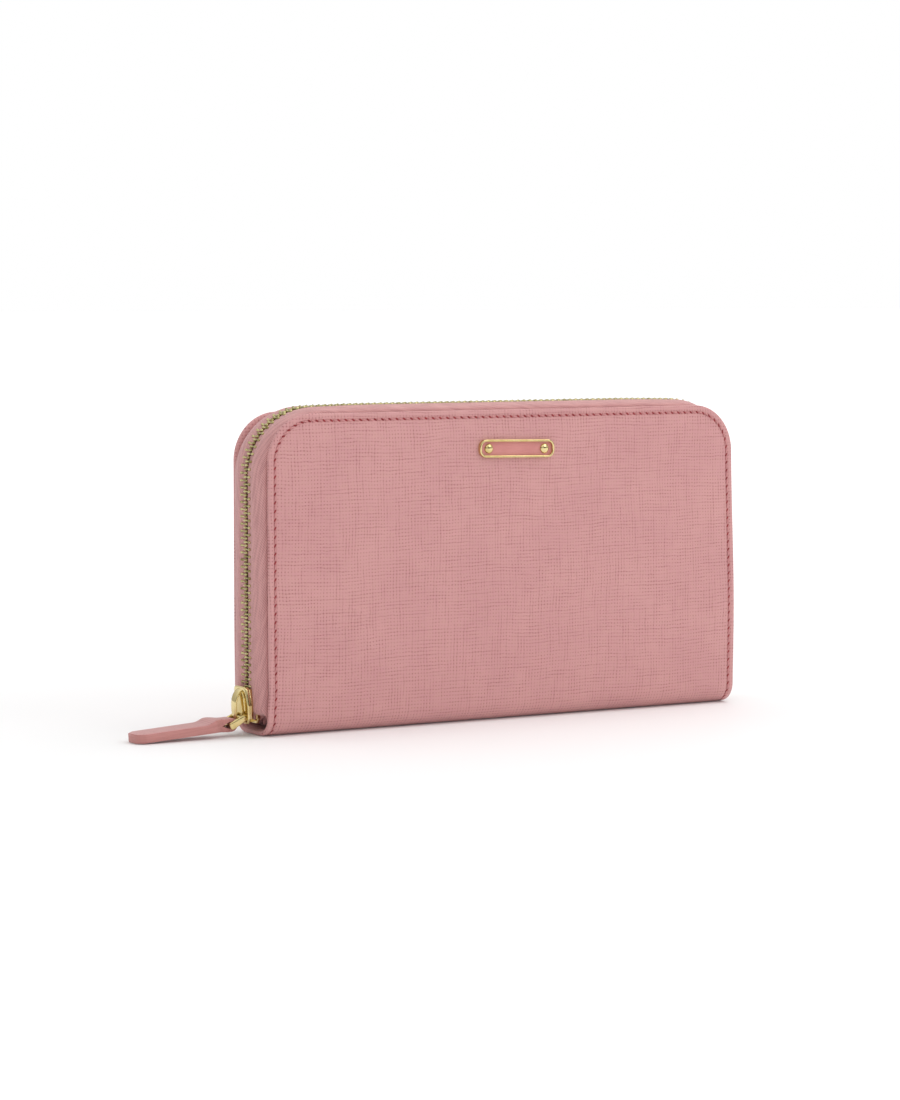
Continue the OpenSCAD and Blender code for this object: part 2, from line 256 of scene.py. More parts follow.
def ribbon(line, half):
    """The closed outline at a distance half from both sides of a line, and the distance along it."""
    slope = np.gradient(line, axis=0)
    normal = np.column_stack([slope[:, 1], -slope[:, 0]])
    normal /= np.maximum(np.linalg.norm(normal, axis=1), TINY)[:, None]
    normal *= np.broadcast_to(half, len(line))[:, None]
    outline = np.vstack([line + normal, (line - normal)[::-1]])
    return outline, travel(outline)


def facing_left(outline, h):
    """[y, z] outline at a distance h out from the left side's edge."""
    return spread(-HALF_W - h, *outline.T)


def side_on(outline, h):
    """[x, z] outline at y = h."""
    return spread(outline[:, 0], h, outline[:, 1])


def facing_front(outline, h):
    """[x, z] outline at a distance h out from the front's face."""
    return side_on(outline, -FACE_Y - h)


def on_side(side):
    """For [x, z] outlines at a distance h from the middle plane, on the front's or the back's side."""
    return lambda outline, h: side_on(outline, side * h)


def lying(outline, h):
    """[x, y] outline at a height h."""
    return spread(*outline.T, h)


def bar(p, q, r, sides=16, edge=0.15):
    """A round bar from p to q with softened ends."""
    p, q = np.array(p, float), np.array(q, float)
    axis = (q - p) / np.linalg.norm(q - p)
    u = np.cross(axis, [0, 0, 1] if abs(axis[2]) < 0.9 else [1, 0, 0])
    u /= np.linalg.norm(u)
    rim = circle(sides) @ np.array([u, np.cross(axis, u)])
    stations = [(p, r - edge), (p + axis * edge, r), (q - axis * edge, r), (q, r - edge)]
    return loft([c + rim * s for c, s in stations])


def strap(path, half_width, half_thick, sides=16, power=0.5):
    """A flat band along a path of [x, z] points, with soft edges. Widths run along Y."""
    path = np.asarray(path, float)
    tangent = np.gradient(path, axis=0)
    tangent /= np.linalg.norm(tangent, axis=1)[:, None]
    normal = np.column_stack([-tangent[:, 1], tangent[:, 0]])
    rim = circle(sides, math.pi / sides)
    c, s = (np.sign(rim) * np.abs(rim) ** power).T
    sections = []
    for p, n, w in zip(path, normal, np.broadcast_to(half_width, len(path))):
        sections.append(side_on(p + np.outer(s * half_thick, n), c * w))
    return loft(sections)


def smooth_path(points, count):
    """An even path of count points through a few, by cubic blending."""
    points = np.asarray(points, float)
    slope = np.gradient(points, axis=0)
    out = []
    for t in np.linspace(0, len(points) - 1 - 1e-9, count):
        i, f = int(t), t - int(t)
        h0, h1 = 2 * f**3 - 3 * f**2 + 1, f**3 - 2 * f**2 + f
        out.append(h0 * points[i] + h1 * slope[i] + (1 - h0) * points[i + 1] + (f**3 - f**2) * slope[i + 1])
    return np.array(out)


# ---------------------------------------------------------------- materials

def shade(*rgb):
    """A colour from 0 to 255, as the shader wants it."""
    c = np.array(rgb) / 255
    return tuple(np.where(c <= 0.04045, c / 12.92, ((c + 0.055) / 1.055) ** 2.4)) + (1.0,)


class Nodes:
    """A shader tree that is being put together. Each method gives the output of what it adds."""

    def __init__(self, tree):
        self.tree = tree

    def node(self, kind, inputs=None, **settings):
        """A shader node. An input is a number, a colour, or another node's output."""
        made = self.tree.nodes.new("ShaderNode" + kind)
        for key, value in settings.items():
            setattr(made, key, value)
        for key, value in (inputs or {}).items():
            if isinstance(value, bpy.types.NodeSocket):
                self.tree.links.new(value, made.inputs[key])
            else:
                made.inputs[key].default_value = value
        return made

    def vector(self, operation, a, b=(0, 0, 0)):
        return self.node("VectorMath", {0: a, 1: b}, operation=operation).outputs[0]

    def scaled(self, vector, scale):
        return self.vector("MULTIPLY", vector, scale)

    def turned(self, vector, degrees):
        inputs = {"Vector": vector, "Angle": math.radians(degrees)}
        return self.node("VectorRotate", inputs, rotation_type="Z_AXIS").outputs[0]

    def flat_mm(self):
        """The piece's own flat coordinates, in millimetres."""
        return self.scaled(self.node("UVMap", uv_map="flat").outputs["UV"], (100, 100, 100))

    def object_mm(self):
        return self.scaled(self.node("TexCoord").outputs["Object"], (1000, 1000, 1000))

    def noise(self, vector, scale, detail=2.0, output="Fac"):
        inputs = {"Vector": vector, "Scale": scale, "Detail": detail, "Roughness": 0.5}
        return self.node("TexNoise", inputs).outputs[output]

    def wave(self, vector, scale, distortion, direction="X", **more):
        more = {key.replace("_", " "): value for key, value in more.items()}
        inputs = {"Vector": vector, "Scale": scale, "Distortion": distortion, **more}
        return self.node("TexWave", inputs, bands_direction=direction).outputs["Fac"]

    def ramp(self, value, lo, hi, out_lo=0.0, out_hi=1.0, kind="SMOOTHSTEP"):
        inputs = {"Value": value, "From Min": lo, "From Max": hi, "To Min": out_lo, "To Max": out_hi}
        return self.node("MapRange", inputs, interpolation_type=kind).outputs["Result"]

    def math(self, operation, a, b=0.0):
        return self.node("Math", {0: a, 1: b}, operation=operation).outputs[0]

    def times(self, a, b):
        return self.math("MULTIPLY", a, b)

    def plus(self, a, b):
        return self.math("ADD", a, b)

    def mix(self, share, a, b):
        return self.node("Mix", {0: share, 6: a, 7: b}, data_type="RGBA").outputs[2]


class Look(Nodes):
    """A material that is being put together."""

    def __init__(self, name, **fixed):
        self.material = bpy.data.materials.new(name)
        self.material.use_nodes = True
        super().__init__(self.material.node_tree)
        self.shader = self.tree.nodes["Principled BSDF"]
        for key, value in fixed.items():
            self.shader.inputs[key.replace("_", " ")].default_value = value

    def link(self, **sockets):
        for name, socket in sockets.items():
            self.tree.links.new(socket, self.shader.inputs[name.replace("_", " ")])

    def finish(self, height, strength, relief_mm, **sockets):
        """Links the surface, gives it a relief, and returns the material."""
        bump = {"Height": height, "Strength": strength, "Distance": relief_mm * MM}
        self.link(**sockets, Normal=self.node("Bump", bump).outputs["Normal"])
        return self.material


def grained_leather(name, base, light, dark, grain=1.17):
    """Leather pressed with an uneven cross grain: small pits in wavering rows and columns."""
    look = Look(name, Specular_IOR_Level=0.38, Sheen_Weight=0.1, Sheen_Roughness=0.5)
    flat = look.flat_mm()

    def warped(vector, scale, amount):
        drift = look.noise(look.vector("ADD", flat, (7.3, 3.1, 0)), scale, 1.0, "Color")
        drift = look.scaled(look.vector("SUBTRACT", drift, (0.5, 0.5, 0.5)), (amount, amount, 0))
        return look.vector("ADD", vector, drift)

    def furrow(axis):
        wave = look.math("COSINE", look.times(placed.outputs[axis], 2 * math.pi / grain))
        return look.ramp(wave, 0.05, 1.0)

    def streaks(stretch, lo, hi):
        return look.ramp(look.noise(look.scaled(flat, stretch), 0.5), lo, hi)

    placed = look.node("SeparateXYZ", {0: warped(warped(flat, 0.03, 3.2), 0.4, 0.5)})
    columns, rows = furrow("X"), furrow("Y")
    patches = look.ramp(look.noise(flat, 0.22), 0.32, 0.68, 0.30, 1.0)
    pit = look.times(look.times(columns, rows), patches)
    across = look.times(rows, streaks((0.15, 1.0, 1), 0.40, 0.70))
    upright = look.times(columns, streaks((1.0, 0.15, 1), 0.42, 0.70))
    depth = look.math("MINIMUM", look.plus(pit, look.times(look.plus(across, upright), 0.34)), 1.0)
    fine = look.noise(flat, 4.0, 3.0)
    warm = look.ramp(look.noise(flat, 0.6), 0.35, 0.7)
    stitch_groove_shade = look.node("Attribute", attribute_name="seam").outputs["Fac"]
    colour = look.mix(look.ramp(look.noise(flat, 0.045, 3.0), 0.3, 0.7), base, light)
    colour = look.mix(look.times(warm, 0.35), colour, shade(206, 156, 147))
    # The pits and furrows are mixed towards the dark colour: partly the grain's own tone, partly painted
    # shade in them.
    colour = look.mix(look.times(depth, 0.66), colour, dark)
    # Painted shade: the leather is mixed darker along the stitches' groove.
    colour = look.mix(look.times(stitch_groove_shade, 0.4), colour, shade(190, 116, 114))
    rough = look.ramp(look.plus(look.times(depth, 0.5), fine), 0.2, 1.2, 0.42, 0.66, "LINEAR")
    height = look.math("SUBTRACT", look.times(fine, 0.30), depth)
    return look.finish(height, 0.5, 0.20, Base_Color=colour, Roughness=rough)


def woven(name, base, dark, thread, twill=False):
    """Cloth: a plain weave, or a twill whose ribs run aslant."""
    look = Look(name, Specular_IOR_Level=0.25, Sheen_Weight=0.25, Sheen_Roughness=0.5, Roughness=0.8)
    flat = look.flat_mm()
    scale = 1 / (6.283 * thread) * 2.0
    if twill:
        rib = look.wave(look.turned(flat, 58), scale, 0.6, Detail=1.0, Detail_Scale=3.0)
        height = look.plus(rib, look.times(look.wave(flat, 1.1, 0.8, "Y"), 0.35))
        fold = look.noise(look.scaled(look.turned(flat, -13), (0.16, 1.5, 1)), 0.75)
        height = look.plus(height, look.ramp(fold, 0.35, 0.65, -0.2, 0.2))
    else:
        height = look.math("MAXIMUM", look.wave(flat, scale, 0.4), look.wave(flat, scale, 0.4, "Y"))
    fuzz = look.noise(flat, 6.0, 3.0)
    # The colour follows the weave's height: its hollows are painted darker as shade, and the fuzz adds a
    # random tone.
    tone = look.plus(look.times(height, 0.75), look.times(fuzz, 0.3))
    colour = look.mix(look.ramp(tone, 0.25, 0.95), dark, base)
    return look.finish(look.plus(height, look.times(fuzz, 0.5)), 0.5, 0.12, Base_Color=colour)


def metal(name, colour, cloud_tone_and_reflection, rough, spots=0.25):
    """Plated metal, finely scratched, and cloudy with patches of a second colour; on the brass that second
    colour is painted dark reflection.
    """
    look = Look(name, Metallic=1.0)
    place = look.object_mm()
    cloud = look.noise(place, spots, 3.0)
    scratch = look.noise(look.scaled(place, (6, 0.6, 6)), 1.4)
    colour = look.mix(look.ramp(cloud, 0.35, 0.75), colour, cloud_tone_and_reflection)
    mixed = look.plus(look.times(cloud, 0.6), look.times(scratch, 0.4))
    rough = look.ramp(mixed, 0.3, 0.75, rough * 0.75, rough * 1.4)
    return look.finish(scratch, 0.10, 0.03, Base_Color=colour, Roughness=rough)


def waxed_thread(name, base, dark):
    """Waxed thread: its two strands show as slanting light and dark, the dark being painted shade in the
    groove between them.
    """
    look = Look(name, Specular_IOR_Level=0.35, Roughness=0.55)
    strand = look.wave(look.turned(look.flat_mm(), 35), 0.8, 0.3)
    return look.finish(strand, 0.5, 0.1, Base_Color=look.mix(strand, dark, base))


def smooth_leather(name, base, dark, rough=0.5, unfolded=True):
    """Thin smooth leather, paint or board, with a fine natural grain."""
    look = Look(name, Specular_IOR_Level=0.4, Sheen_Weight=0.1)
    flat = look.flat_mm() if unfolded else look.object_mm()
    cells = {"Vector": flat, "Scale": 2.2, "Randomness": 0.9}
    pore = look.node("TexVoronoi", cells, feature="DISTANCE_TO_EDGE").outputs["Distance"]
    grain = look.ramp(pore, 0.0, 0.12)
    tone = look.noise(flat, 0.08, 4.0)
    colour = look.mix(look.ramp(tone, 0.3, 0.7), base, dark)
    # Painted shade: the creases between the grain's cells are mixed darker.
    colour = look.mix(look.ramp(grain, 0, 1, 0.25, 0.0), colour, dark)
    rough = look.ramp(tone, 0.2, 0.8, rough * 0.85, rough * 1.2)
    return look.finish(grain, 0.35, 0.06, Base_Color=colour, Roughness=rough)


# Each slot's materials: the first for most of a piece, the second where build() is told so by indices.
LOOKS = {
    "leather": [grained_leather("cross_grain_leather", shade(205, 148, 149), shade(210, 154, 153),
                                shade(152, 82, 87))],
    "pull_leather": [grained_leather("pull_leather", shade(204, 149, 148), shade(209, 155, 153),
                                     shade(154, 92, 94), grain=0.95),
                     smooth_leather("edge_paint", shade(203, 142, 136), shade(192, 130, 126), 0.6)],
    "tape": [woven("zip_tape", shade(224, 169, 166), shade(170, 116, 117), 0.5, twill=True)],
    "lining": [woven("lining_cloth", shade(190, 131, 133), shade(150, 95, 99), 0.35)],
    "card_leather": [smooth_leather("card_leather", shade(199, 142, 140), shade(186, 127, 127))],
    # The brass's dark second colour is painted dark reflection, scattered in cloudy patches.
    "brass": [metal("zip_brass", shade(204, 194, 142), shade(128, 118, 66), 0.22, spots=0.6)],
    "gold": [metal("polished_gold", shade(226, 207, 152), shade(204, 183, 122), 0.12)],
    "thread": [waxed_thread("waxed_thread", shade(217, 154, 153), shade(196, 130, 131)),
               # The needle holes' dark red is painted shade inside the holes.
               smooth_leather("needle_hole_shade", shade(158, 56, 60), shade(134, 46, 50), 0.8)],
    "inlay": [smooth_leather("inlay_lacquer", shade(216, 144, 139), shade(206, 132, 128), 0.3,
                             unfolded=False)],
}
BOARD_LOOK = smooth_leather("board", shade(158, 146, 128), shade(140, 128, 112), 0.85, unfolded=False)


# ---------------------------------------------------------------- the outer leather

def wrap(s, out):
    """[y, z] on the folded sheet: s runs from 0 at the base's middle to the back, negative to the front,
    and out is how far the point stands out from the leather's plain outer face."""
    s = np.asarray(s, float)
    a = np.abs(s)
    turn = np.clip((a - FOLD_Y) / FOLD_R, 0, math.pi / 2)
    r = FOLD_R + out
    y = np.minimum(a, FOLD_Y) + r * np.sin(turn)
    z = FOLD_R - r * np.cos(turn) + np.maximum(a - FOLD_Y - FOLD_ARC, 0)
    return np.where(s < 0, -y, y), z


DRAW_RIGHT = 1.7
DRAW_LEFT = 0.55


def drawn_in(points):
    """The soft front cover is a little narrower than the back one, most of all towards its top right."""
    x, y, z = points.T
    right = DRAW_RIGHT * smoothstep(30, 98, z) * smoothstep(HALF_W - 50, HALF_W, x)
    left = DRAW_LEFT * smoothstep(6, 16, z) * smoothstep(HALF_W - 50, HALF_W, -x)
    return spread(x + (left - right) * smoothstep(2.0, 9.5, -y), y, z)


def half_width(s):
    """Half of the sheet's width at s: round at the tops, and a little narrower round the base."""
    high = np.clip(TOP_R - (TOP - wrap(s, 0)[1]), 0, TOP_R)
    waist = BASE_IN * (1 - smoothstep(6, 45, np.abs(s)))
    return HALF_W - waist - TOP_R + np.sqrt(np.maximum(TOP_R**2 - high**2, 0))


def edge_distance(x, s):
    """How far a point of the sheet lies from its nearest edge."""
    x, a = np.abs(x), np.abs(s)
    cx, cs = HALF_W - TOP_R, SHEET_END - TOP_R
    corner = TOP_R - np.hypot(x - cx, a - cs)
    plain = np.minimum(half_width(s) - x, SHEET_END - a)
    return np.where((x > cx) & (a > cs), corner, plain)


def runs(*stops):
    """Numbers from stop to stop: stops alternate with the count of numbers between them, ends included."""
    spans = [np.linspace(stops[i], stops[i + 2], stops[i + 1]) for i in range(0, len(stops) - 2, 2)]
    return np.concatenate([spans[0]] + [span[1:] for span in spans[1:]])


def sheet_border():
    """The sheet's edge on the top and on the right, as [x, s] points."""
    lean = TOP_R * math.sin(math.pi / 4)
    bend, foot, shoulder = HALF_W - TOP_R, FOLD_Y + FOLD_ARC + 2, SHEET_END - TOP_R
    xs = runs(-bend - lean, 14, -bend, 52, bend, 14, bend + lean)
    up = runs(0, 19, foot, 28, shoulder, 14, shoulder + lean)
    ss = np.concatenate([-up[::-1], up[1:]])
    rise = np.sqrt(np.maximum(TOP_R**2 - np.clip(np.abs(xs) - bend, 0, None) ** 2, 0)) - TOP_R
    return np.column_stack([xs, SHEET_END + rise]), np.column_stack([half_width(ss), ss])


def patch(front, right, back, left):
    """Points that fill four border runs, [k][j], with k from front to back and j from left to right."""
    u = ((front[:, 0] - front[0, 0]) / (front[-1, 0] - front[0, 0]))[None, :, None]
    v = ((right[:, 1] - right[0, 1]) / (right[-1, 1] - right[0, 1]))[:, None, None]
    edges = (1 - v) * front[None] + v * back[None] + (1 - u) * left[:, None] + u * right[:, None]
    corners = ((1 - u) * (1 - v) * front[0] + u * (1 - v) * front[-1]
               + (1 - u) * v * back[0] + u * v * back[-1])
    return edges - corners


def sheet_loop(top, right):
    """The sheet's whole edge as a loop that starts at the front's left corner, and the way inward."""
    loop = np.vstack([top * [1, -1], right[1:], top[::-1][1:], right[::-1][1:-1] * [-1, 1]])
    ahead = np.roll(loop, -1, 0) - np.roll(loop, 1, 0)
    inward = np.column_stack([-ahead[:, 1], ahead[:, 0]]) / np.linalg.norm(ahead, axis=1)[:, None]
    return loop, inward * np.sign((inward * -loop).sum(1).mean())


def sheet_mesh(profile, outer_count, puff=None):
    """The folded sheet as a closed mesh. profile lists [inset, out] from the outer face's inside, over
    the edge, to the inner face's inside. puff(x, s) adds to the first outer_count rings of it."""
    top, right = sheet_border()
    loop, inward = sheet_loop(top, right)
    n, n_x, n_s = len(loop), len(top), len(right)
    corner_b, corner_c = n_x + n_s - 2, 2 * n_x + n_s - 3
    flat = np.vstack([loop + inward * distance for distance, _ in profile])
    out = np.repeat([float(height) for _, height in profile], n)
    is_outer = np.repeat(np.arange(len(profile)) < outer_count, n)
    faces = [[i * n + j, i * n + (j + 1) % n, (i + 1) * n + (j + 1) % n, (i + 1) * n + j]
             for i in range(len(profile) - 1) for j in range(n)]

    def four_runs(around):
        """Front, right, back and left run of a ring, each from its left or its front end."""
        left = np.concatenate([around[corner_c:], around[:1]])[::-1]
        return around[:n_x], around[n_x - 1 : corner_b + 1], around[corner_b : corner_c + 1][::-1], left

    for ring, outer in ((0, True), (len(profile) - 1, False)):
        index = np.arange(n) + ring * n
        ids = np.zeros((n_s, n_x), int)
        ids[0], ids[:, -1], ids[-1], ids[:, 0] = four_runs(index)
        inside = patch(*four_runs(flat[index]))[1:-1, 1:-1].reshape(-1, 2)
        ids[1:-1, 1:-1] = (len(flat) + np.arange(len(inside))).reshape(n_s - 2, n_x - 2)
        flat = np.vstack([flat, inside])
        out = np.append(out, np.full(len(inside), profile[ring][1]))
        is_outer = np.append(is_outer, np.full(len(inside), outer))
        faces += [[ids[k, j], ids[k, j + 1], ids[k + 1, j + 1], ids[k + 1, j]]
                  for k in range(n_s - 1) for j in range(n_x - 1)]
    x, s = flat.T
    if puff:
        out = out + np.where(is_outer, puff(x, s), 0)
    return (drawn_in(spread(x, *wrap(s, out))), faces), flat


def leather_puff(x, s):
    """The padding under the leather: flat at the edge and the base, and full in the panels."""
    inside = edge_distance(x, s)
    panel = smoothstep(FOLD_Y + 3, FOLD_Y + FOLD_ARC + 14, np.abs(s))
    roll = 0.42 * smoothstep(3.0, 8.5, inside)
    dome = 0.55 * smoothstep(6, 48, inside)
    return panel * (roll + dome)


# [inset, out] from the outer face, down into the groove of the stitches, and round the turned edge.
LEATHER_PROFILE = [
    (7.4, 0.0), (5.6, 0.0), (4.2, 0.0), (3.5, 0.0), (3.0, -0.03), (2.72, -0.14), (2.4, -0.24),
    (2.08, -0.14), (1.8, -0.04), (1.45, 0.0), (0.8, 0.0), (0.42, -0.04), (0.17, -0.15), (0.04, -0.34),
    (0.0, -0.65), (0.08, -1.0), (0.3, -1.3), (0.8, -1.55), (2.0, -1.9), (3.4, -2.0), (7.4, -2.0),
]
OUTER_RINGS = 15


def outer_leather():
    part, flat = sheet_mesh(LEATHER_PROFILE, OUTER_RINGS, leather_puff)
    inside = edge_distance(*flat.T)
    above_fold = smoothstep(FOLD_Y + 1, FOLD_Y + 5, np.abs(flat[:, 1]))
    # band marks the stitches' groove, where the leather's material paints shade.
    band = np.exp(-(((inside - STITCH_INSET) / 0.5) ** 2)) * above_fold
    return build("outer_leather", "leather", [part], "front_cover_leather front_fold_leather back_leather",
                 sharp=35, uvs=flat / 100, marks={"seam": band})


def inner_lining():
    lo, hi = box_mm("front_lining")
    outside, inside = -FACE_Y - lo[1], -FACE_Y - hi[1]
    profile = [(9.0, outside), (4.3, outside), (3.6, outside - 0.04), (3.4, (outside + inside) / 2),
               (3.6, inside + 0.04), (4.3, inside), (9.0, inside)]
    part, flat = sheet_mesh(profile, 3)
    return build("inner_lining", "lining", [part], "front_lining spine_lining back_lining", sharp=35,
                 uvs=flat / 100)


def bend_with_cover(made):
    """Bakes a sheet's placement into its mesh, where it was built round the fold."""
    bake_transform(made)


# ---------------------------------------------------------------- stitches

def border_path(distance, low):
    """[x, s] points along one cover's stitch line, from fold to fold, for s > 0."""
    mid = SHEET_END - TOP_R
    up = np.arange(low, mid, 0.5)
    right = np.column_stack([half_width(up) - distance, up])
    corner = np.array([HALF_W - TOP_R, mid]) + (TOP_R - distance) * unit(np.linspace(0, math.pi / 2, 40))
    half = np.vstack([right, corner])
    return np.vstack([half, (half * [-1, 1])[::-1]])


def at_distances(distances, length, columns):
    """What the columns hold at these distances along a path."""
    return np.column_stack([np.interp(distances, length, column) for column in columns.T])


def along(path, distances, step=0.2):
    """Points and directions at these distances along a path."""
    length = travel(path)
    way = at_distances(distances + step, length, path) - at_distances(distances - step, length, path)
    way /= np.maximum(np.linalg.norm(way, axis=1), TINY)[:, None]
    return at_distances(distances, length, path), way


THREAD_SIDES = 8
THREAD_STATIONS = 7


def thread(at, way, to_space, length=1.9, r=0.27, slant=-0.24, lift=-0.15):
    """One thread, from hole to hole, a little aslant and arched."""
    cross = np.array([-way[1], way[0]])
    rim = circle(THREAD_SIDES)
    sections = []
    for t in np.linspace(-1, 1, THREAD_STATIONS):
        middle = at + way * t * length / 2 + cross * slant * t
        width = r * (1 - 0.5 * abs(t) ** 5)
        height = lift + 0.20 * (1 - abs(t) ** 3) - 0.36 * abs(t) ** 6
        flat = middle + np.outer(rim[:, 0] * width, cross)
        sections.append(to_space(flat, height + rim[:, 1] * width * 0.85))
    return loft(sections)


def needle_hole(at, way, to_space, length=1.4, width=0.62, turn=-36, lift=-0.12):
    """The slanting slit that a thread goes through, a dark lens that stands in for the shade inside the
    hole.
    """
    c, s = math.cos(math.radians(turn)), math.sin(math.radians(turn))
    way = np.array([c * way[0] - s * way[1], s * way[0] + c * way[1]])
    cross = np.array([-way[1], way[0]])
    rim = circle(6)
    sections = []
    for t in (-1.0, -0.6, 0.0, 0.6, 1.0):
        half = width / 2 * max(math.sqrt(1 - t * t), 0.15)
        flat = at + way * t * length / 2 + np.outer(rim[:, 0] * half, cross)
        sections.append(to_space(flat, lift + 0.12 * t * t + rim[:, 1] * 0.06))
    return loft(sections)


def seam(name, path, to_space, covers="", body=None):
    """A row of threads and needle holes along a path of flat points."""
    length = travel(path)[-1]
    count = int(round(length / STITCH_PITCH))
    pitch, margin = length / count, 0.1
    at_threads = (np.arange(count) + 0.5) * pitch
    at_holes = np.clip(np.arange(count + 1) * pitch, margin, length - margin)
    threads = [thread(p, w, to_space) for p, w in zip(*along(path, at_threads))]
    holes = [needle_hole(p, w, to_space) for p, w in zip(*along(path, at_holes))]
    lengthwise = np.repeat(np.linspace(0, 0.02, THREAD_STATIONS), THREAD_SIDES)
    around = np.tile(np.arange(THREAD_SIDES) / 800, THREAD_STATIONS)
    uvs = np.vstack([np.tile(np.column_stack([lengthwise, around]), (count, 1)),
                     *[points[:, [0, 2]] / 100 for points, _ in holes]])
    indices = [0] * sum(len(f) for _, f in threads) + [1] * sum(len(f) for _, f in holes)
    return build(name, "thread", threads + holes, covers, body, sharp=35, uvs=uvs, indices=indices)


def cover_stitches(name, side, covers, body=None):
    def on_cover(flat, out):
        return drawn_in(spread(flat[:, 0], *wrap(flat[:, 1] * side, out)))

    return seam(name, border_path(STITCH_INSET, FOLD_Y + 2.5), on_cover, covers, body)


# ---------------------------------------------------------------- zip

def zip_path():
    """[x, z] points and outward directions along the zip, from the left end over the top to the right end,
    with the distance along them. Both ends turn in between the covers, and the top is a little crowned."""
    low, high = np.radians(np.linspace(180 + ZIP_TURN, 180, 12)), np.radians(np.linspace(180, 90, 33))
    corner_x, corner_z = -HALF_W + ZIP_CORNER_R, TOP - ZIP_CORNER_R
    side = [(-HALF_W, z) for z in np.arange(ZIP_TURN_Z, corner_z, 1.5)[1:]]
    top = [(x, TOP) for x in np.linspace(corner_x, 0, 50)[1:]]
    points = np.vstack([np.array([-HALF_W + ZIP_TURN_R, ZIP_TURN_Z]) + ZIP_TURN_R * unit(low), side,
                        np.array([corner_x, corner_z]) + ZIP_CORNER_R * unit(high), top])
    normals = np.vstack([unit(low), [(-1, 0)] * len(side), unit(high), [(0, 1)] * len(top)])
    on_top = smoothstep(HALF_W - 10, HALF_W - 45, -points[:, 0]) * (points[:, 1] > TOP - 9)
    points[:, 1] += ZIP_CROWN * on_top
    points, normals = [np.vstack([half, (half[:-1] * [-1, 1])[::-1]]) for half in (points, normals)]
    return points, normals, travel(points)


def at_zip(distance, path):
    """Place and outward direction at a distance along the zip."""
    points, normals, length = path
    place, out = [at_distances([distance], length, columns)[0] for columns in (points, normals)]
    return place, out / np.linalg.norm(out)


def cover_inside(z):
    """Distance of the leather's inner face from the middle plane, at a height."""
    r = FOLD_R - LEATHER
    low = np.clip(FOLD_R - z, 0, r)
    return FOLD_Y + np.sqrt(np.maximum(r * r - low * low, 0))


# The tape's middle line in [out, y], from the sewn edge, over its rise, to the cord under the teeth,
# and half its thickness there. Nearer to the middle plane than CORD_Y it stays in place under the teeth.
TAPE_LINE = np.array([(-5.0, 9.72), (-2.5, 9.72), (-0.6, 9.70), (0.1, 9.50), (0.55, 9.0), (0.95, 8.2),
                      (1.28, 7.1), (1.50, 6.0), (1.60, 5.0), (1.52, 4.2), (1.28, 3.4), (1.12, 2.8),
                      (1.02, 2.0), (0.95, 1.2), (0.86, 0.4)])
TAPE_HALF = [0.24] * 11 + [0.40, 0.46, 0.40, 0.24]
CORD_Y = 2.3
END_TUCK = 3.2


def tape(name, side, covers, body=None):
    points, normals, length = zip_path()
    outline, across = ribbon(TAPE_LINE, TAPE_HALF)
    out, y = outline.T
    loose = smoothstep(3.0, 5.0, y) * (1 - smoothstep(8.6, 9.6, y))
    sections, uvs = [], []
    for p, n, d in zip(points, normals, length):
        reach = (cover_inside(p[1]) - CORD_Y) / (INNER_Y - CORD_Y)
        tuck = END_TUCK * (1 - smoothstep(0, 4.5, min(d, length[-1] - d)))
        stretched = np.where(y > CORD_Y, CORD_Y + (y - CORD_Y) * reach, y)
        sections.append(drawn_in(side_on(p + np.outer(out - tuck * loose, n), stretched * side)))
        uvs += [(d / 100, a / 100) for a in across]
    return build(name, "tape", [loft(sections)], covers, body, uvs=np.array(uvs))


# One tooth: legs that grip the tape, a rounded rod, and a domed head past the middle.
# Each station is [y, half its length along the zip, lowest, highest].
TOOTH_STATIONS = np.array([
    (3.14, 0.14, 1.0, 1.5), (3.08, 0.32, 0.75, 1.86), (2.92, 0.43, 0.55, 2.14), (2.62, 0.46, 0.45, 2.30),
    (2.3, 0.42, 0.45, 2.22), (1.95, 0.36, 0.5, 1.98), (1.2, 0.33, 0.5, 1.86), (0.6, 0.35, 0.5, 1.98),
    (0.1, 0.42, 0.5, 2.2), (-0.45, 0.44, 0.6, 2.24), (-0.85, 0.36, 0.8, 2.04), (-1.05, 0.16, 1.15, 1.65)])


def tooth(place, out, side, size=1.0):
    way = np.array([out[1], -out[0]])
    rim = circle(12, math.pi / 12)
    c, s = (np.sign(rim) * np.abs(rim) ** [0.8, 0.75]).T
    sections = []
    for y, half, low, high in TOOTH_STATIONS * size:
        flat = place + np.outer(c * half, way) + np.outer((low + high) / 2 + s * (high - low) / 2, out)
        sections.append(side_on(flat, side * y))
    return loft(sections)


def tooth_places(shift=0.0):
    """Where a row's teeth stand, and which way is out there."""
    path = zip_path()
    count = int((path[2][-1] - 2 * TOOTH_START) / TOOTH_PITCH)
    return [at_zip(TOOTH_START + (i + 0.5 + shift) * TOOTH_PITCH, path) for i in range(count)]


# The front row's bend above the slider: it starts at ROW_START, and its share of the front cover's motion
# grows along ROW_GRADIENT, per millimetre. A tooth grips the tape at GRIP_Y.
ROW_START = np.array([-HALF_W - 0.3, -2.9, 17.0])
ROW_GRADIENT = np.array([1 / 6, -1 / 7, 1 / 14])
GRIP_Y = -0.9


def bend_front_tape(made):
    """Bakes the front tape's placement into its mesh."""
    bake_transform(made)


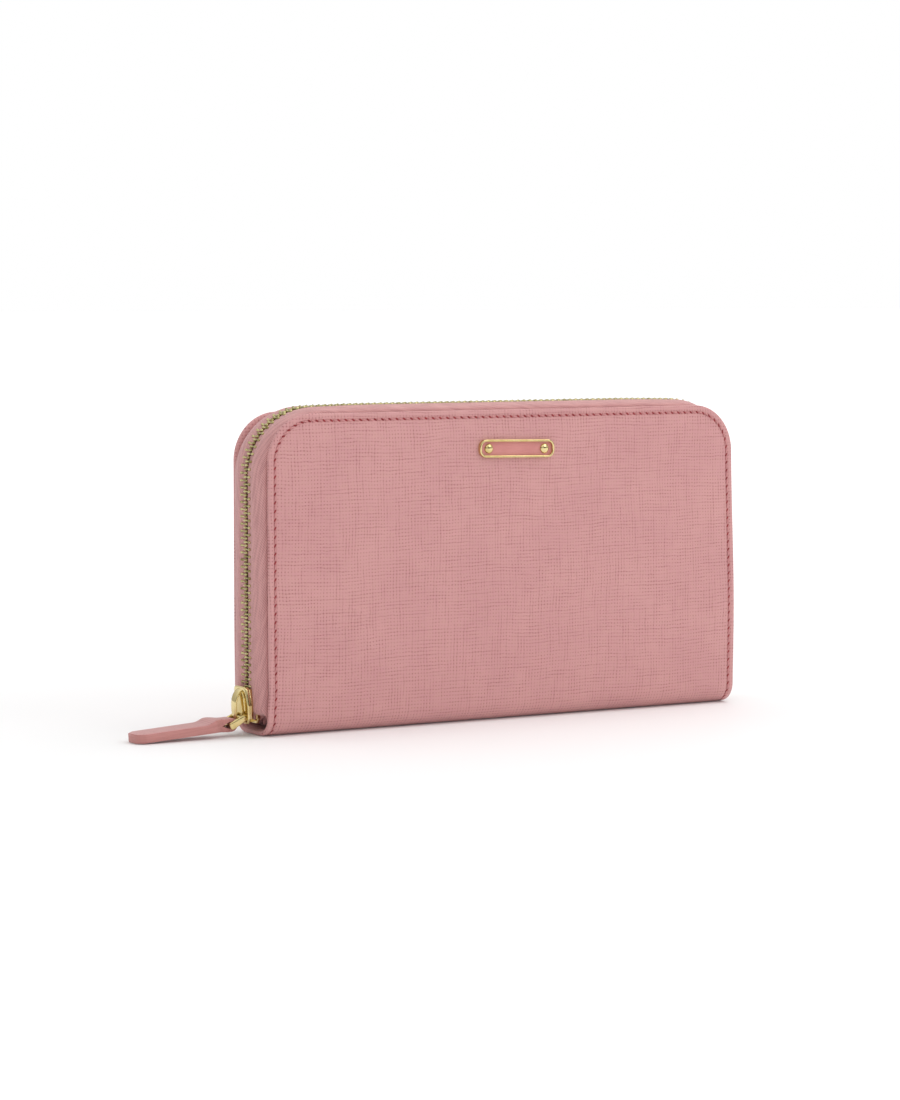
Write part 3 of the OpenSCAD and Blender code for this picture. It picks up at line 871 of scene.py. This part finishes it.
def front_teeth():
    """The front row: each tooth stays stiff; those below the bend ride on the back cover, those above it on
    the front cover, and those in it stay where they are built.
    """
    low, high, between = [], [], []
    for place, out in tooth_places():
        part = tooth(place, out, -1)
        grip = np.array([place[0] + out[0], GRIP_Y, place[1] + out[1]])
        share = float((grip - ROW_START) @ ROW_GRADIENT)
        if share <= 0:
            low.append(part)
        elif share >= 1:
            high.append(part)
        else:
            between.append((part, grip, share))
    covers = "front_zip_teeth front_teeth_end_left front_teeth_end_right"
    build("front_teeth_low", "brass", low, covers, "back_cover", sharp=60)
    build("front_teeth", "brass", high, covers, "front_cover", sharp=60)
    for number, (part, grip, share) in enumerate(between, 1):
        made = build(f"front_tooth_{number}", "brass", [part], "front_zip_teeth", sharp=60)
        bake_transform(made)


def zip_stops():
    """A crimped clip below the last tooth at each end of the zip."""
    place, out = at_zip(0.0, zip_path())
    way = np.array([out[1], -out[0]])
    place = place - out * 1.6 - way * 0.3
    for name, mirror in (("zip_stop_left", 1), ("zip_stop_right", -1)):

        def put(shape, h):
            flat = place + h * way + np.outer(shape[:, 1], out)
            return spread(flat[:, 0] * mirror, shape[:, 0], flat[:, 1])

        clip = slab(rect(-1.9, 0.5, 1.9, 2.2, 0.5, 4), -0.6, 0.6, 0.25, put)
        build(name + "_clip", "brass", [clip], name, "back_cover", sharp=35)


# ---------------------------------------------------------------- slider, link and pull

def framed(outer, inner, h0, h1, edge, place):
    """A plate between heights h0 and h1 with a window in it. Both outlines have equally many points."""
    rim = [(edge, 0), (0.3 * edge, 0.3 * edge), (0, edge)]
    steps = [(d, h0 + h) for d, h in rim] + [(d, h1 - h) for d, h in rim[::-1]]
    steps = [(outer, d, h) for d, h in steps] + [(inner, -d, h) for d, h in steps[::-1]]
    return loft([place(inset(outline, d) if d else outline, h) for outline, d, h in steps], ring=True)


def slider():
    """Two plates with a post between them, and flanges round the rows."""
    lo, hi = box_mm("zip_slider_body")
    z0, z1, w = lo[2], hi[2], hi[1]
    tail, front = 0.76 * w, -HALF_W - lo[0]
    plate, rise = 1.1, 0.65

    def leaning(outline, h):
        """The outer plate is a wedge: its outer face stands further out towards the tail."""
        share = np.clip((h - front + plate) / plate, 0, 1)
        placed = facing_left(outline, h)
        placed[:, 0] -= rise * share * smoothstep(z0 + 3.5, z1, outline[:, 1])
        return placed

    outline = even([(-w + 1.0, z0), (-w, z0 + 1.9), (-w, z1 - 6.3), (-tail, z1 - 0.2)],
                   [0.9, 1.2, 3.0, 1.3], 6)
    pad = even([(-2.0, z0 + 2.6), (-3.0, z0 + 4.4), (-3.0, z0 + 8.6), (-2.0, z0 + 10.6)], [0.5] * 4, 4)
    parts = [slab(outline, front - plate, front + 0.02, 0.38, leaning, 5),
             slab(outline, -1.05, 0.1, 0.3, facing_left, 4),
             slab(pad, front - 0.2, front + 0.40, 0.3, leaning, 4)]
    for side in (-1, 1):
        rail = [(w, z0 + 1.7), (w, z1 - 6.4), (tail + 0.02, z1 - 0.9), (tail - 0.6, z1 - 0.9),
                (w - 0.9, z1 - 6.6), (w - 0.9, z0 + 1.7)]
        rail = rounded([(side * y, z) for y, z in rail], [0.3, 1.5, 0.2, 0.2, 1.5, 0.3], 4)
        parts += [slab(rail, 1.62, front - 0.6, 0.25, facing_left), slab(rail, -0.5, 0.5, 0.2, facing_left)]
    post = rounded([(-0.45, z0), (0.45, z0), (0.3, z0 + 4.0), (-0.3, z0 + 4.0)], 0.15, 3)
    parts.append(slab(post, 0.0, front - 0.9, 0.05, facing_left, 2))
    build("zip_slider_shell", "gold", parts, "zip_slider_body", "zip_slider")


def slider_bridge():
    """A band that arches from the slider's tail, over the link's bar, to the plate below it."""
    z0 = box_mm("zip_slider_body")[0][2]
    arch = [(3.3, 11.3), (4.6, 10.8), (5.65, 9.4), (6.2, 7.5), (6.3, 5.3), (6.15, 3.3), (5.85, 1.95),
            (5.1, 0.85), (3.9, 0.45), (3.1, 0.4)]
    line = smooth_path(arch, 44) * [-1, 1] + [-HALF_W, z0]
    width = 1.75 - 0.35 * smoothstep(z0 + 9, z0 + 2, line[:, 1])
    bridge = strap(line, width, 0.42, power=0.55)
    build("zip_slider_arch", "gold", [bridge], "zip_slider_bridge", "zip_slider")


def link_frame():
    """Both bars' places as [x, z], and the direction from the slider's bar to the pull's."""
    inner, outer = joint_mm("zip_link_hinge")[[0, 2]], joint_mm("zip_pull_hinge")[[0, 2]]
    return inner, outer, (outer - inner) / np.linalg.norm(outer - inner)


def link():
    """Two flat sides, a little deeper at the pull's end, and a round bar at each end."""
    inner, outer, way = link_frame()
    width, side_t, low, high = box_mm("zip_link")[1][1], 1.2, 1.05, 1.3
    axes = np.array([way, (-way[1], way[0])])
    reach = np.linalg.norm(outer - inner) + high
    outline = rounded([(-low, -low), (reach, -high), (reach, high), (-low, low)], 0.85, 6)
    parts = []
    for side in (-1, 1):
        def put(shape, h):
            return side_on(inner + shape @ axes, side * (width - side_t + h))

        parts.append(slab(outline, 0, side_t, 0.34, put, 5))
    parts += [bar((x, -width + 0.2, z), (x, width - 0.2, z), 0.7) for x, z in (inner, outer)]
    build("zip_link_ring", "gold", parts, "zip_link", "zip_link")


def strap_rim(w, t, corner=0.4):
    """The cross section of the pull's strip, [across, height]. The outer corners are cut for the paint."""
    left = [(-w, -t), (-w, t - corner), (-w + 0.12, t - 0.13), (-w + corner, t), (-w / 2, t)]
    return left + [(0, t)] + [(-y, h) for y, h in left[::-1]] + [(w / 2, -t), (0, -t), (-w / 2, -t)]


# Neighbouring points of strap_rim with an edge of paint between them.
PAINTED = ([0, 1], [9, 10], [1, 2], [8, 9])


# The pull's leather is PULL_LAYER thick when flat. Round the bar it lies between LOOP_IN and LOOP_OUT.
PULL_LAYER = 1.5
LOOP_IN = 1.12
LOOP_OUT = 2.25


def pull_layer(a, top):
    """Inner and outer height of a layer, at a distance from the bar, where the eye closes."""
    inner = LOOP_IN * (1 - smoothstep(0.5, 4.0, a))
    thinning = smoothstep(6.5, 10.5, a) if top else smoothstep(0.5, 7.5, a)
    swell = 0.4 * math.exp(-(((a - 5.8) / 2.4) ** 2)) if top else 0.0
    return inner, PULL_LAYER + (LOOP_OUT - PULL_LAYER) * (1 - thinning) + swell


def pull_spine(length):
    """Stations along the strip, from the tip round the bar and back: the distance from the bar, the way
    the strip's outside faces, and the height of its inside and its outside there."""
    run = runs(length - 0.05, 22, 11, 26, 0)
    spine = [(a, np.array([0, 1]), *pull_layer(a, True)) for a in run]
    for t in np.linspace(math.pi / 2, -math.pi / 2, 15)[1:-1]:
        spine.append((0, np.array([-math.cos(t), math.sin(t)]), LOOP_IN, LOOP_OUT))
    return spine + [(a, np.array([0, -1]), *pull_layer(a, False)) for a in run[::-1]]


def pull():
    """One strip of leather, folded round the link's bar, its two layers glued down to the tip."""
    eye = link_frame()[1]
    lo, hi = box_mm("zip_pull")
    half, narrow, tip_cut = hi[1], 2.7, 2.2
    slope = math.asin((eye[1] - PULL_LAYER - 0.05) / (eye[0] - lo[0]))
    length = (eye[0] - lo[0]) / math.cos(slope)
    axes = -np.array([(math.cos(slope), math.sin(slope)), (math.sin(slope), -math.cos(slope))])
    spine = pull_spine(length)
    middles = np.array([(at, 0) + facing * (inner + outer) / 2 for at, facing, inner, outer in spine])
    sections, uvs = [], []
    for middle, gone, (at, facing, inner, outer) in zip(middles, travel(middles), spine):
        t = (outer - inner) / 2
        w = narrow + (half - narrow) * float(smoothstep(2.8, 7.4, at)) - max(at - length + tip_cut, 0)
        across, height = np.array(strap_rim(w, t)).T
        sections.append(side_on(eye + (middle + np.outer(height, facing)) @ axes, across))
        uvs += [(gone / 100, (y if h > -t else 30 - y) / 100) for y, h in zip(across, height)]
    count = len(sections[0])
    points, faces = loft(sections)
    indices = [1 if sorted({i % count for i in face}) in PAINTED else 0 for face in faces[:-2]] + [1, 1]
    build("zip_pull_strap", "pull_leather", [(points, faces)], "zip_pull", "zip_pull", uvs=np.array(uvs),
          indices=indices)


# ---------------------------------------------------------------- nameplate

def rivet(name, foot):
    """A low dome on the nameplate. foot is how far out from the leather it starts."""
    lo, hi = box_mm(name)
    centre, r = (lo + hi)[[0, 2]] / 2, (hi - lo)[0] / 2 + 0.1
    crown = unit(np.radians(np.arange(10, 86, 12))) * [r, 0.85] + [0, foot + 0.2]
    profile = [(r * 0.94, foot), (r, foot + 0.2), *crown]
    dome = loft([facing_front(centre + circle(32) * q, h) for q, h in profile])
    return build(name + "_dome", "gold", [dome], name, sharp=60)


def nameplate():
    """A gold rim round a coral inlay, with a domed rivet at each end, all turned a little."""
    lo, hi = box_mm("nameplate_frame")
    middle, half = (lo + hi)[[0, 2]] / 2, (hi - lo)[[0, 2]] / 2
    stand, rim, round_r = -FACE_Y - lo[1], 0.72, 2.5

    def outline(draw_in):
        x, z = half - draw_in
        return rect(middle[0] - x, middle[1] - z, middle[0] + x, middle[1] + z, round_r - draw_in, 8)

    frame_part = framed(outline(0), outline(rim), 0.1, stand, 0.2, facing_front)
    inlay_part = slab(outline(rim - 0.04), 0.2, stand - 0.85, 0.06, facing_front)
    pieces = [build("nameplate_rim", "gold", [frame_part], "nameplate_frame"),
              build("nameplate_enamel", "inlay", [inlay_part], "nameplate_inlay", sharp=35)]
    pieces += [rivet(name, stand - 0.9) for name in ("nameplate_rivet_left", "nameplate_rivet_right")]
    centre = Matrix.Translation(Vector((middle[0], 0, middle[1])) * MM)
    askew = centre @ Matrix.Rotation(math.radians(NAMEPLATE_TURN), 4, "Y") @ centre.inverted()
    for made in pieces:
        made.data.transform(askew)
        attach(made, "front_cover")


# ---------------------------------------------------------------- inside

GUSSET_FOLDS = 6
GUSSET_THICK = 0.42
GUSSET_DEPTH = 3.9
GUSSET_FOOT = (3.4, 4.6, 6.2, 8.5)


def gusset(name):
    """A leather wall at one end, pleated like a fan, glued to both linings along its two long edges.
    Its foot reaches down inside the fold."""
    lo, hi = box_mm(name)
    sign = 1 if hi[0] > 0 else -1
    outer = max(-lo[0], hi[0]) - 0.25
    turns = np.linspace(0, GUSSET_FOLDS, GUSSET_FOLDS * 8 + 1)
    wave = GUSSET_DEPTH * (0.5 - 0.5 * np.cos(math.pi * turns))
    pleats = np.column_stack([-wave, (2 * turns / GUSSET_FOLDS - 1) * (hi[1] - 0.3)])
    lining_y = box_mm("back_lining")[0][1] - GUSSET_THICK / 2
    ends = np.array([(0.0, lining_y), (0.0, lining_y - 0.6)])
    outline, across = ribbon(np.vstack([ends * [1, -1], pleats, ends[::-1]]), GUSSET_THICK / 2)
    sections, uvs = [], []
    for z in [*GUSSET_FOOT, *np.linspace(lo[2], hi[2], 14)]:
        share = 1 - 0.14 * smoothstep(20, 75, z)
        reach = (cover_inside(z) - INNER_Y + lining_y) / lining_y
        sections.append(spread(sign * (outer + outline[:, 0] * share), outline[:, 1] * reach, z))
        uvs += [(a / 100, z / 100) for a in across]
    made = build(name + "_pleats", "card_leather", [loft(sections)], name, uvs=np.array(uvs), sharp=60)
    reach = hi[1] * MM
    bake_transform(made)


def leaf_top(x, top, dip_x=42.5, dip=2.3):
    """A card slot's top edge: two shallow dips, where a thumb reaches the card."""
    away = np.abs(np.abs(x) - dip_x)
    return np.column_stack([x, top - dip * (1 - smoothstep(6, 16, away))])


def card_leaf(name, side):
    """One slot: a thin leather leaf with a turned hem along its dipped top edge."""
    lo, hi = box_mm(name)
    inside, outside = layer_mm(name)
    hem, hem_t, hem_end = 2.2, 0.16, 85.6
    body = np.vstack([[(lo[0], lo[2]), (hi[0], lo[2])], leaf_top(np.linspace(hi[0], lo[0], 60), hi[2])])
    edge = leaf_top(np.linspace(hem_end, -hem_end, 56), hi[2] - 0.02)
    strip = np.vstack([edge, (edge - [0, hem])[::-1]])
    parts = [slab(body, inside, outside, 0.08, on_side(side), 2),
             slab(strip, inside - hem_t, inside + 0.02, 0.07, on_side(side), 2)]
    build(name + "_slot", "card_leather", parts, name, "front_cover" if side < 0 else "back_cover")
    return hi[2], inside


def card_slots(side):
    """Four leaves a cover, and the threads that part them into two columns."""
    cover = "front" if side < 0 else "back"
    steps = [card_leaf(f"{cover}_card_leaf_{n}", side) for n in (1, 2, 3, 4)]
    lining = abs(box_mm(cover + "_lining")[0 if side > 0 else 1][1])

    def on_leaves(flat, out):
        surface = np.full(len(flat), lining)
        for top, inside in steps:
            surface = np.where(flat[:, 1] < top, inside, surface)
        return side_on(flat, side * (surface - out))

    heights = np.linspace(box_mm(cover + "_card_leaf_1")[0][2] + 1, steps[0][0] - 0.8, 150)
    for mark, x in (("middle", 0.0), ("left", -84.6), ("right", 84.6)):
        path = np.column_stack([np.full(len(heights), x), heights])
        seam(f"{cover}_slot_{mark}_stitches", path, on_leaves, body=cover + "_cover")


# ---------------------------------------------------------------- the coin pocket

def coin_outline(draw_in=0.0):
    lo, hi = box_mm("coin_front_panel")
    x, foot_r = hi[0] - draw_in, 4 - draw_in
    return rect(-x, lo[2] + draw_in, x, hi[2] - draw_in, [foot_r, foot_r, 1.2, 1.2], 6)


def coin_panel(name, side):
    """One side of the pocket, with a row of stitches all round."""
    inside, outside = layer_mm(name)

    def on_panel(flat, out):
        return side_on(flat, side * (outside + out))

    panel = slab(coin_outline(), inside, outside, 0.2, on_side(side), 3)
    build(name + "_leather", "card_leather", [panel], name, "coin_pocket")
    loop = coin_outline(1.6)
    seam(name + "_stitches", smooth_loop(np.vstack([loop, loop[:1]])), on_panel, body="coin_pocket")


def coin_band():
    """The band between the panels, round both ends and the base."""
    lo, hi = box_mm("coin_frame")
    x, z, r = hi[0] - 0.3, lo[2] + 0.3, 3.7
    corner = np.array([-x + r, z + r]) - r * unit(np.linspace(math.pi / 2, 0, 8))[:, ::-1]
    left = np.vstack([[(-x, height) for height in np.linspace(hi[2], z + r, 18)[:-1]], corner])
    base = [(along_x, z) for along_x in np.linspace(-x + r, x - r, 40)[1:-1]]
    path = np.vstack([left, base, (left * [-1, 1])[::-1]])
    band = strap(path, hi[1], 0.28, power=0.35)
    build("coin_frame_band", "card_leather", [band], "coin_frame", "coin_pocket")


def smooth_loop(corners, step=0.5):
    """Points every step along straight runs between the corners."""
    out = []
    for a, b in zip(corners[:-1], corners[1:]):
        count = max(int(np.linalg.norm(b - a) / step), 1)
        out += [a + (b - a) * k / count for k in range(count)]
    return np.array(out + [corners[-1]])


def coin_zip():
    """The pocket's own fine zip: two tapes, two rows and a stop at each end."""
    pitch = COIN_TRAVEL / round(COIN_TRAVEL / (TOOTH_PITCH * COIN_ZIP_SIZE))
    up = np.array([0.0, 1.0])
    for side, name, shift in ((-1, "coin_front", 0.25), (1, "coin_back", 0.75)):
        lo, hi = box_mm(name + "_tape")
        mid, far = (lo[2] + hi[2]) / 2, layer_mm(name + "_tape")[1]
        line = np.array([(y, mid) for y in (far, 1.9, 1.5, 1.3, 1.0)])
        outline, across = ribbon(line, [0.14, 0.14, 0.17, 0.26, 0.2])
        xs = np.linspace(lo[0], hi[0], 60)
        sections = [spread(x, side * outline[:, 0], outline[:, 1]) for x in xs]
        uvs = np.array([(x / 100, a / 100) for x in xs for a in across])
        build(name + "_tape_cloth", "tape", [loft(sections)], name + "_tape", "coin_pocket", uvs=uvs)
        lo, hi = box_mm(name + "_teeth")
        low = mid - 1.36 * COIN_ZIP_SIZE
        parts = [tooth(np.array([lo[0] + (i + shift) * pitch, low]), up, side, COIN_ZIP_SIZE)
                 for i in range(int((hi[0] - lo[0]) / pitch) - 1)]
        build(name + "_row", "brass", parts, name + "_teeth", "coin_pocket", sharp=60)
    for name in ("coin_stop_left", "coin_stop_right"):
        lo, hi = box_mm(name)
        clip = slab(rect(*lo[:2], *hi[:2], 0.3, 4), lo[2], hi[2], 0.3, lying, 4)
        build(name + "_clip", "brass", [clip], name, "coin_pocket", sharp=35)


def coin_slider():
    """Two plates with a post between them, flanges round the rows, and an eye for the pull."""
    lo, hi = box_mm("coin_slider")
    eye = joint_mm("coin_pull_hinge")[[0, 2]]
    w, x0, x1, low, top = hi[1], lo[0], hi[0], lo[2], eye[1] - 1.2
    outline = even([(x0, -0.7 * w), (x0 + 1.8, -w), (x1 - 1.6, -w), (x1, -w + 0.7)],
                   [0.5, 0.8, 0.8, 0.4], 5, flip=(1, -1))
    parts = [slab(outline, low, low + 0.78, 0.28, lying, 4), slab(outline, top - 0.8, top, 0.28, lying, 4)]
    for side in (-1, 1):
        rail = rect(x0 + 1.9, side * w, x1 - 1.7, side * (w - 0.4), 0.15, 3)
        parts += [slab(rail, h, h + 0.65, 0.12, lying) for h in (low + 0.5, top - 1.15)]
    post = rect(x0 + 0.1, -0.3, x0 + 2.3, 0.3, 0.25, 4)
    neck = rounded([(eye[0] - 1.5, top - 0.2), (eye[0] + 2.0, top - 0.2), (eye[0] + 1.0, eye[1] - 0.72),
                    (eye[0] - 1.0, eye[1] - 0.72)], 0.2, 4)
    rim = circle(32)
    parts += [slab(post, low + 0.5, top - 0.5, 0.05, lying, 2),
              framed(eye + rim * 1.2, eye + rim * 0.66, -0.58, 0.58, 0.15, side_on),
              slab(neck, -0.55, 0.55, 0.15, side_on, 3)]
    build("coin_slider_shell", "gold", parts, "coin_slider", "coin_slider")


def coin_pull():
    """A tab with a window, a bar through the slider's eye, and an arm at each side of the eye."""
    hi = box_mm("coin_pull")[1]
    eye = joint_mm("coin_pull_hinge")[[0, 2]]
    w, end, thick, r, inside = hi[1], hi[0], 0.52, 0.6, 0.9
    low, high = eye[1] - thick, eye[1] + thick
    start = eye[0] + 3.4
    outer = rounded([(start, -w + 0.3), (end, -w), (end, w), (start, w - 0.3)], [0.5, 1.8, 1.8, 0.5], 8)
    inner = rect(end - 4.6, -0.8, end - 1.1, 0.8, 0.75, 8)
    parts = [framed(outer, inner, low, high, 0.2, lying), bar((eye[0], -w, eye[1]), (eye[0], w, eye[1]), r)]
    arm = rect(eye[0] - r, low, start + 0.6, high, 0.4, 6)
    parts += [slab(arm, *ends, 0.18, side_on) for ends in ((-w + 0.05, -inside), (inside, w - 0.05))]
    build("coin_pull_tab", "gold", parts, "coin_pull", "coin_pull")


def boards():
    """The stiffening boards keep their CAD shapes, between the leather and the lining."""
    for name in ("back_board", "front_board", "spine_board"):
        for held in frame["nodes"][name].material_slots:
            held.link = "OBJECT"
            held.material = BOARD_LOOK


# ---------------------------------------------------------------- the studio

CAMERA_PLACE = (-607.8, -975.4, 146.1)
CAMERA_YAW = 31.2
CAMERA_PITCH = 4.42
CAMERA_LENS = 109.7
FLOOR_SIZE = 40.0
FLOOR_DROP = 0.15
GLOW_NEAR, GLOW_FAR = 250, 1200
LAMP_AIM = (0, 0, 0.05)


def studio_floor():
    """A white floor that glows a little, more so far away, where it has to meet the white background."""
    mesh = bpy.data.meshes.new("floor")
    half = FLOOR_SIZE / 2
    corners = [(x * half, y * half, -FLOOR_DROP * MM) for x, y in ((-1, -1), (1, -1), (1, 1), (-1, 1))]
    mesh.from_pydata(corners, [], [[0, 1, 2, 3]])
    look = Look("pale_floor", Roughness=0.6, Specular_IOR_Level=0.2, Emission_Color=(1, 1, 1, 1))
    away = look.node("VectorMath", {0: look.object_mm()}, operation="LENGTH").outputs["Value"]
    grain = look.noise(look.object_mm(), 0.004)
    look.link(Emission_Strength=look.ramp(away, GLOW_NEAR, GLOW_FAR, 0.03, 0.3),
              Base_Color=look.mix(grain, (0.90, 0.90, 0.90, 1), (0.93, 0.93, 0.93, 1)))
    mesh.materials.append(look.material)
    place_in_scene("floor", mesh)


def studio_world():
    """White all round, brighter overhead, with two dark cards that only the metal shows."""
    world = bpy.data.worlds.new("studio")
    bpy.context.scene.world = world
    world.use_nodes = True
    sky = Nodes(world.node_tree)
    sky.tree.nodes.clear()
    place = sky.node("TexCoord").outputs["Generated"]
    height = sky.node("SeparateXYZ", {0: place}).outputs["Z"]
    level = sky.ramp(height, 0.0, 0.8, 0.5, 1.08, "LINEAR")
    for card, cosine in (((-0.93, -0.30, 0.20), 0.93), ((0.35, -0.90, 0.25), 0.95)):
        facing = sky.node("VectorMath", {0: place, 1: card}, operation="DOT_PRODUCT").outputs["Value"]
        level = sky.times(level, sky.ramp(facing, cosine - 0.02, cosine + 0.02, 1.0, 0.12, "LINEAR"))
    seen = sky.node("LightPath").outputs["Is Camera Ray"]
    strength = sky.node("Mix", {0: seen, 2: level, 3: 1.0}, data_type="FLOAT").outputs[0]
    light = sky.node("Background", {"Color": (1, 1, 1, 1), "Strength": strength})
    sky.node("OutputWorld", {"Surface": light.outputs[0]})


def lamp(name, place, size, power):
    """A square area light. Its place and size are in metres, its power in watts."""
    light = bpy.data.lights.new(name, "AREA")
    light.shape = "RECTANGLE"
    light.size = light.size_y = size
    light.energy = power
    made = place_in_scene(name, light)
    made.location = place
    made.rotation_euler = (Vector(LAMP_AIM) - Vector(place)).to_track_quat("-Z", "Y").to_euler()


def studio_camera():
    camera = bpy.data.cameras.new("camera")
    camera.sensor_width = 36
    camera.lens = CAMERA_LENS
    made = place_in_scene("camera", camera)
    made.location = Vector(CAMERA_PLACE) * MM
    yaw, pitch = math.radians(CAMERA_YAW), math.radians(CAMERA_PITCH)
    ahead = Vector((math.sin(yaw) * math.cos(pitch), math.cos(yaw) * math.cos(pitch), -math.sin(pitch)))
    made.rotation_euler = ahead.to_track_quat("-Z", "Y").to_euler()
    bpy.context.scene.camera = made


studio_camera()
studio_floor()
studio_world()
lamp("key", (0.7, -1.2, 0.9), 0.8, 4.0)
lamp("overhead", (0.7, -0.1, 1.2), 0.8, 4.2)
bpy.context.scene.view_settings.view_transform = "Standard"

bend_with_cover(outer_leather())
bend_with_cover(inner_lining())
bend_with_cover(cover_stitches("front_stitches", -1, "front_cover_stitching"))
cover_stitches("back_stitches", 1, "back_cover_stitching", "back_cover")
bend_front_tape(tape("front_tape", -1, "front_zip_tape front_tape_end_left front_tape_end_right"))
tape("back_tape", 1, "back_zip_tape", "back_cover")
back_row = [tooth(*spot, 1) for spot in tooth_places(0.5)]
build("back_teeth", "brass", back_row, "back_zip_teeth", "back_cover", sharp=60)
front_teeth()
zip_stops()
slider()
slider_bridge()
link()
pull()
nameplate()
gusset("left_gusset")
gusset("right_gusset")
card_slots(-1)
card_slots(1)
coin_panel("coin_front_panel", -1)
coin_panel("coin_back_panel", 1)
coin_band()
coin_zip()
coin_slider()
coin_pull()
boards()
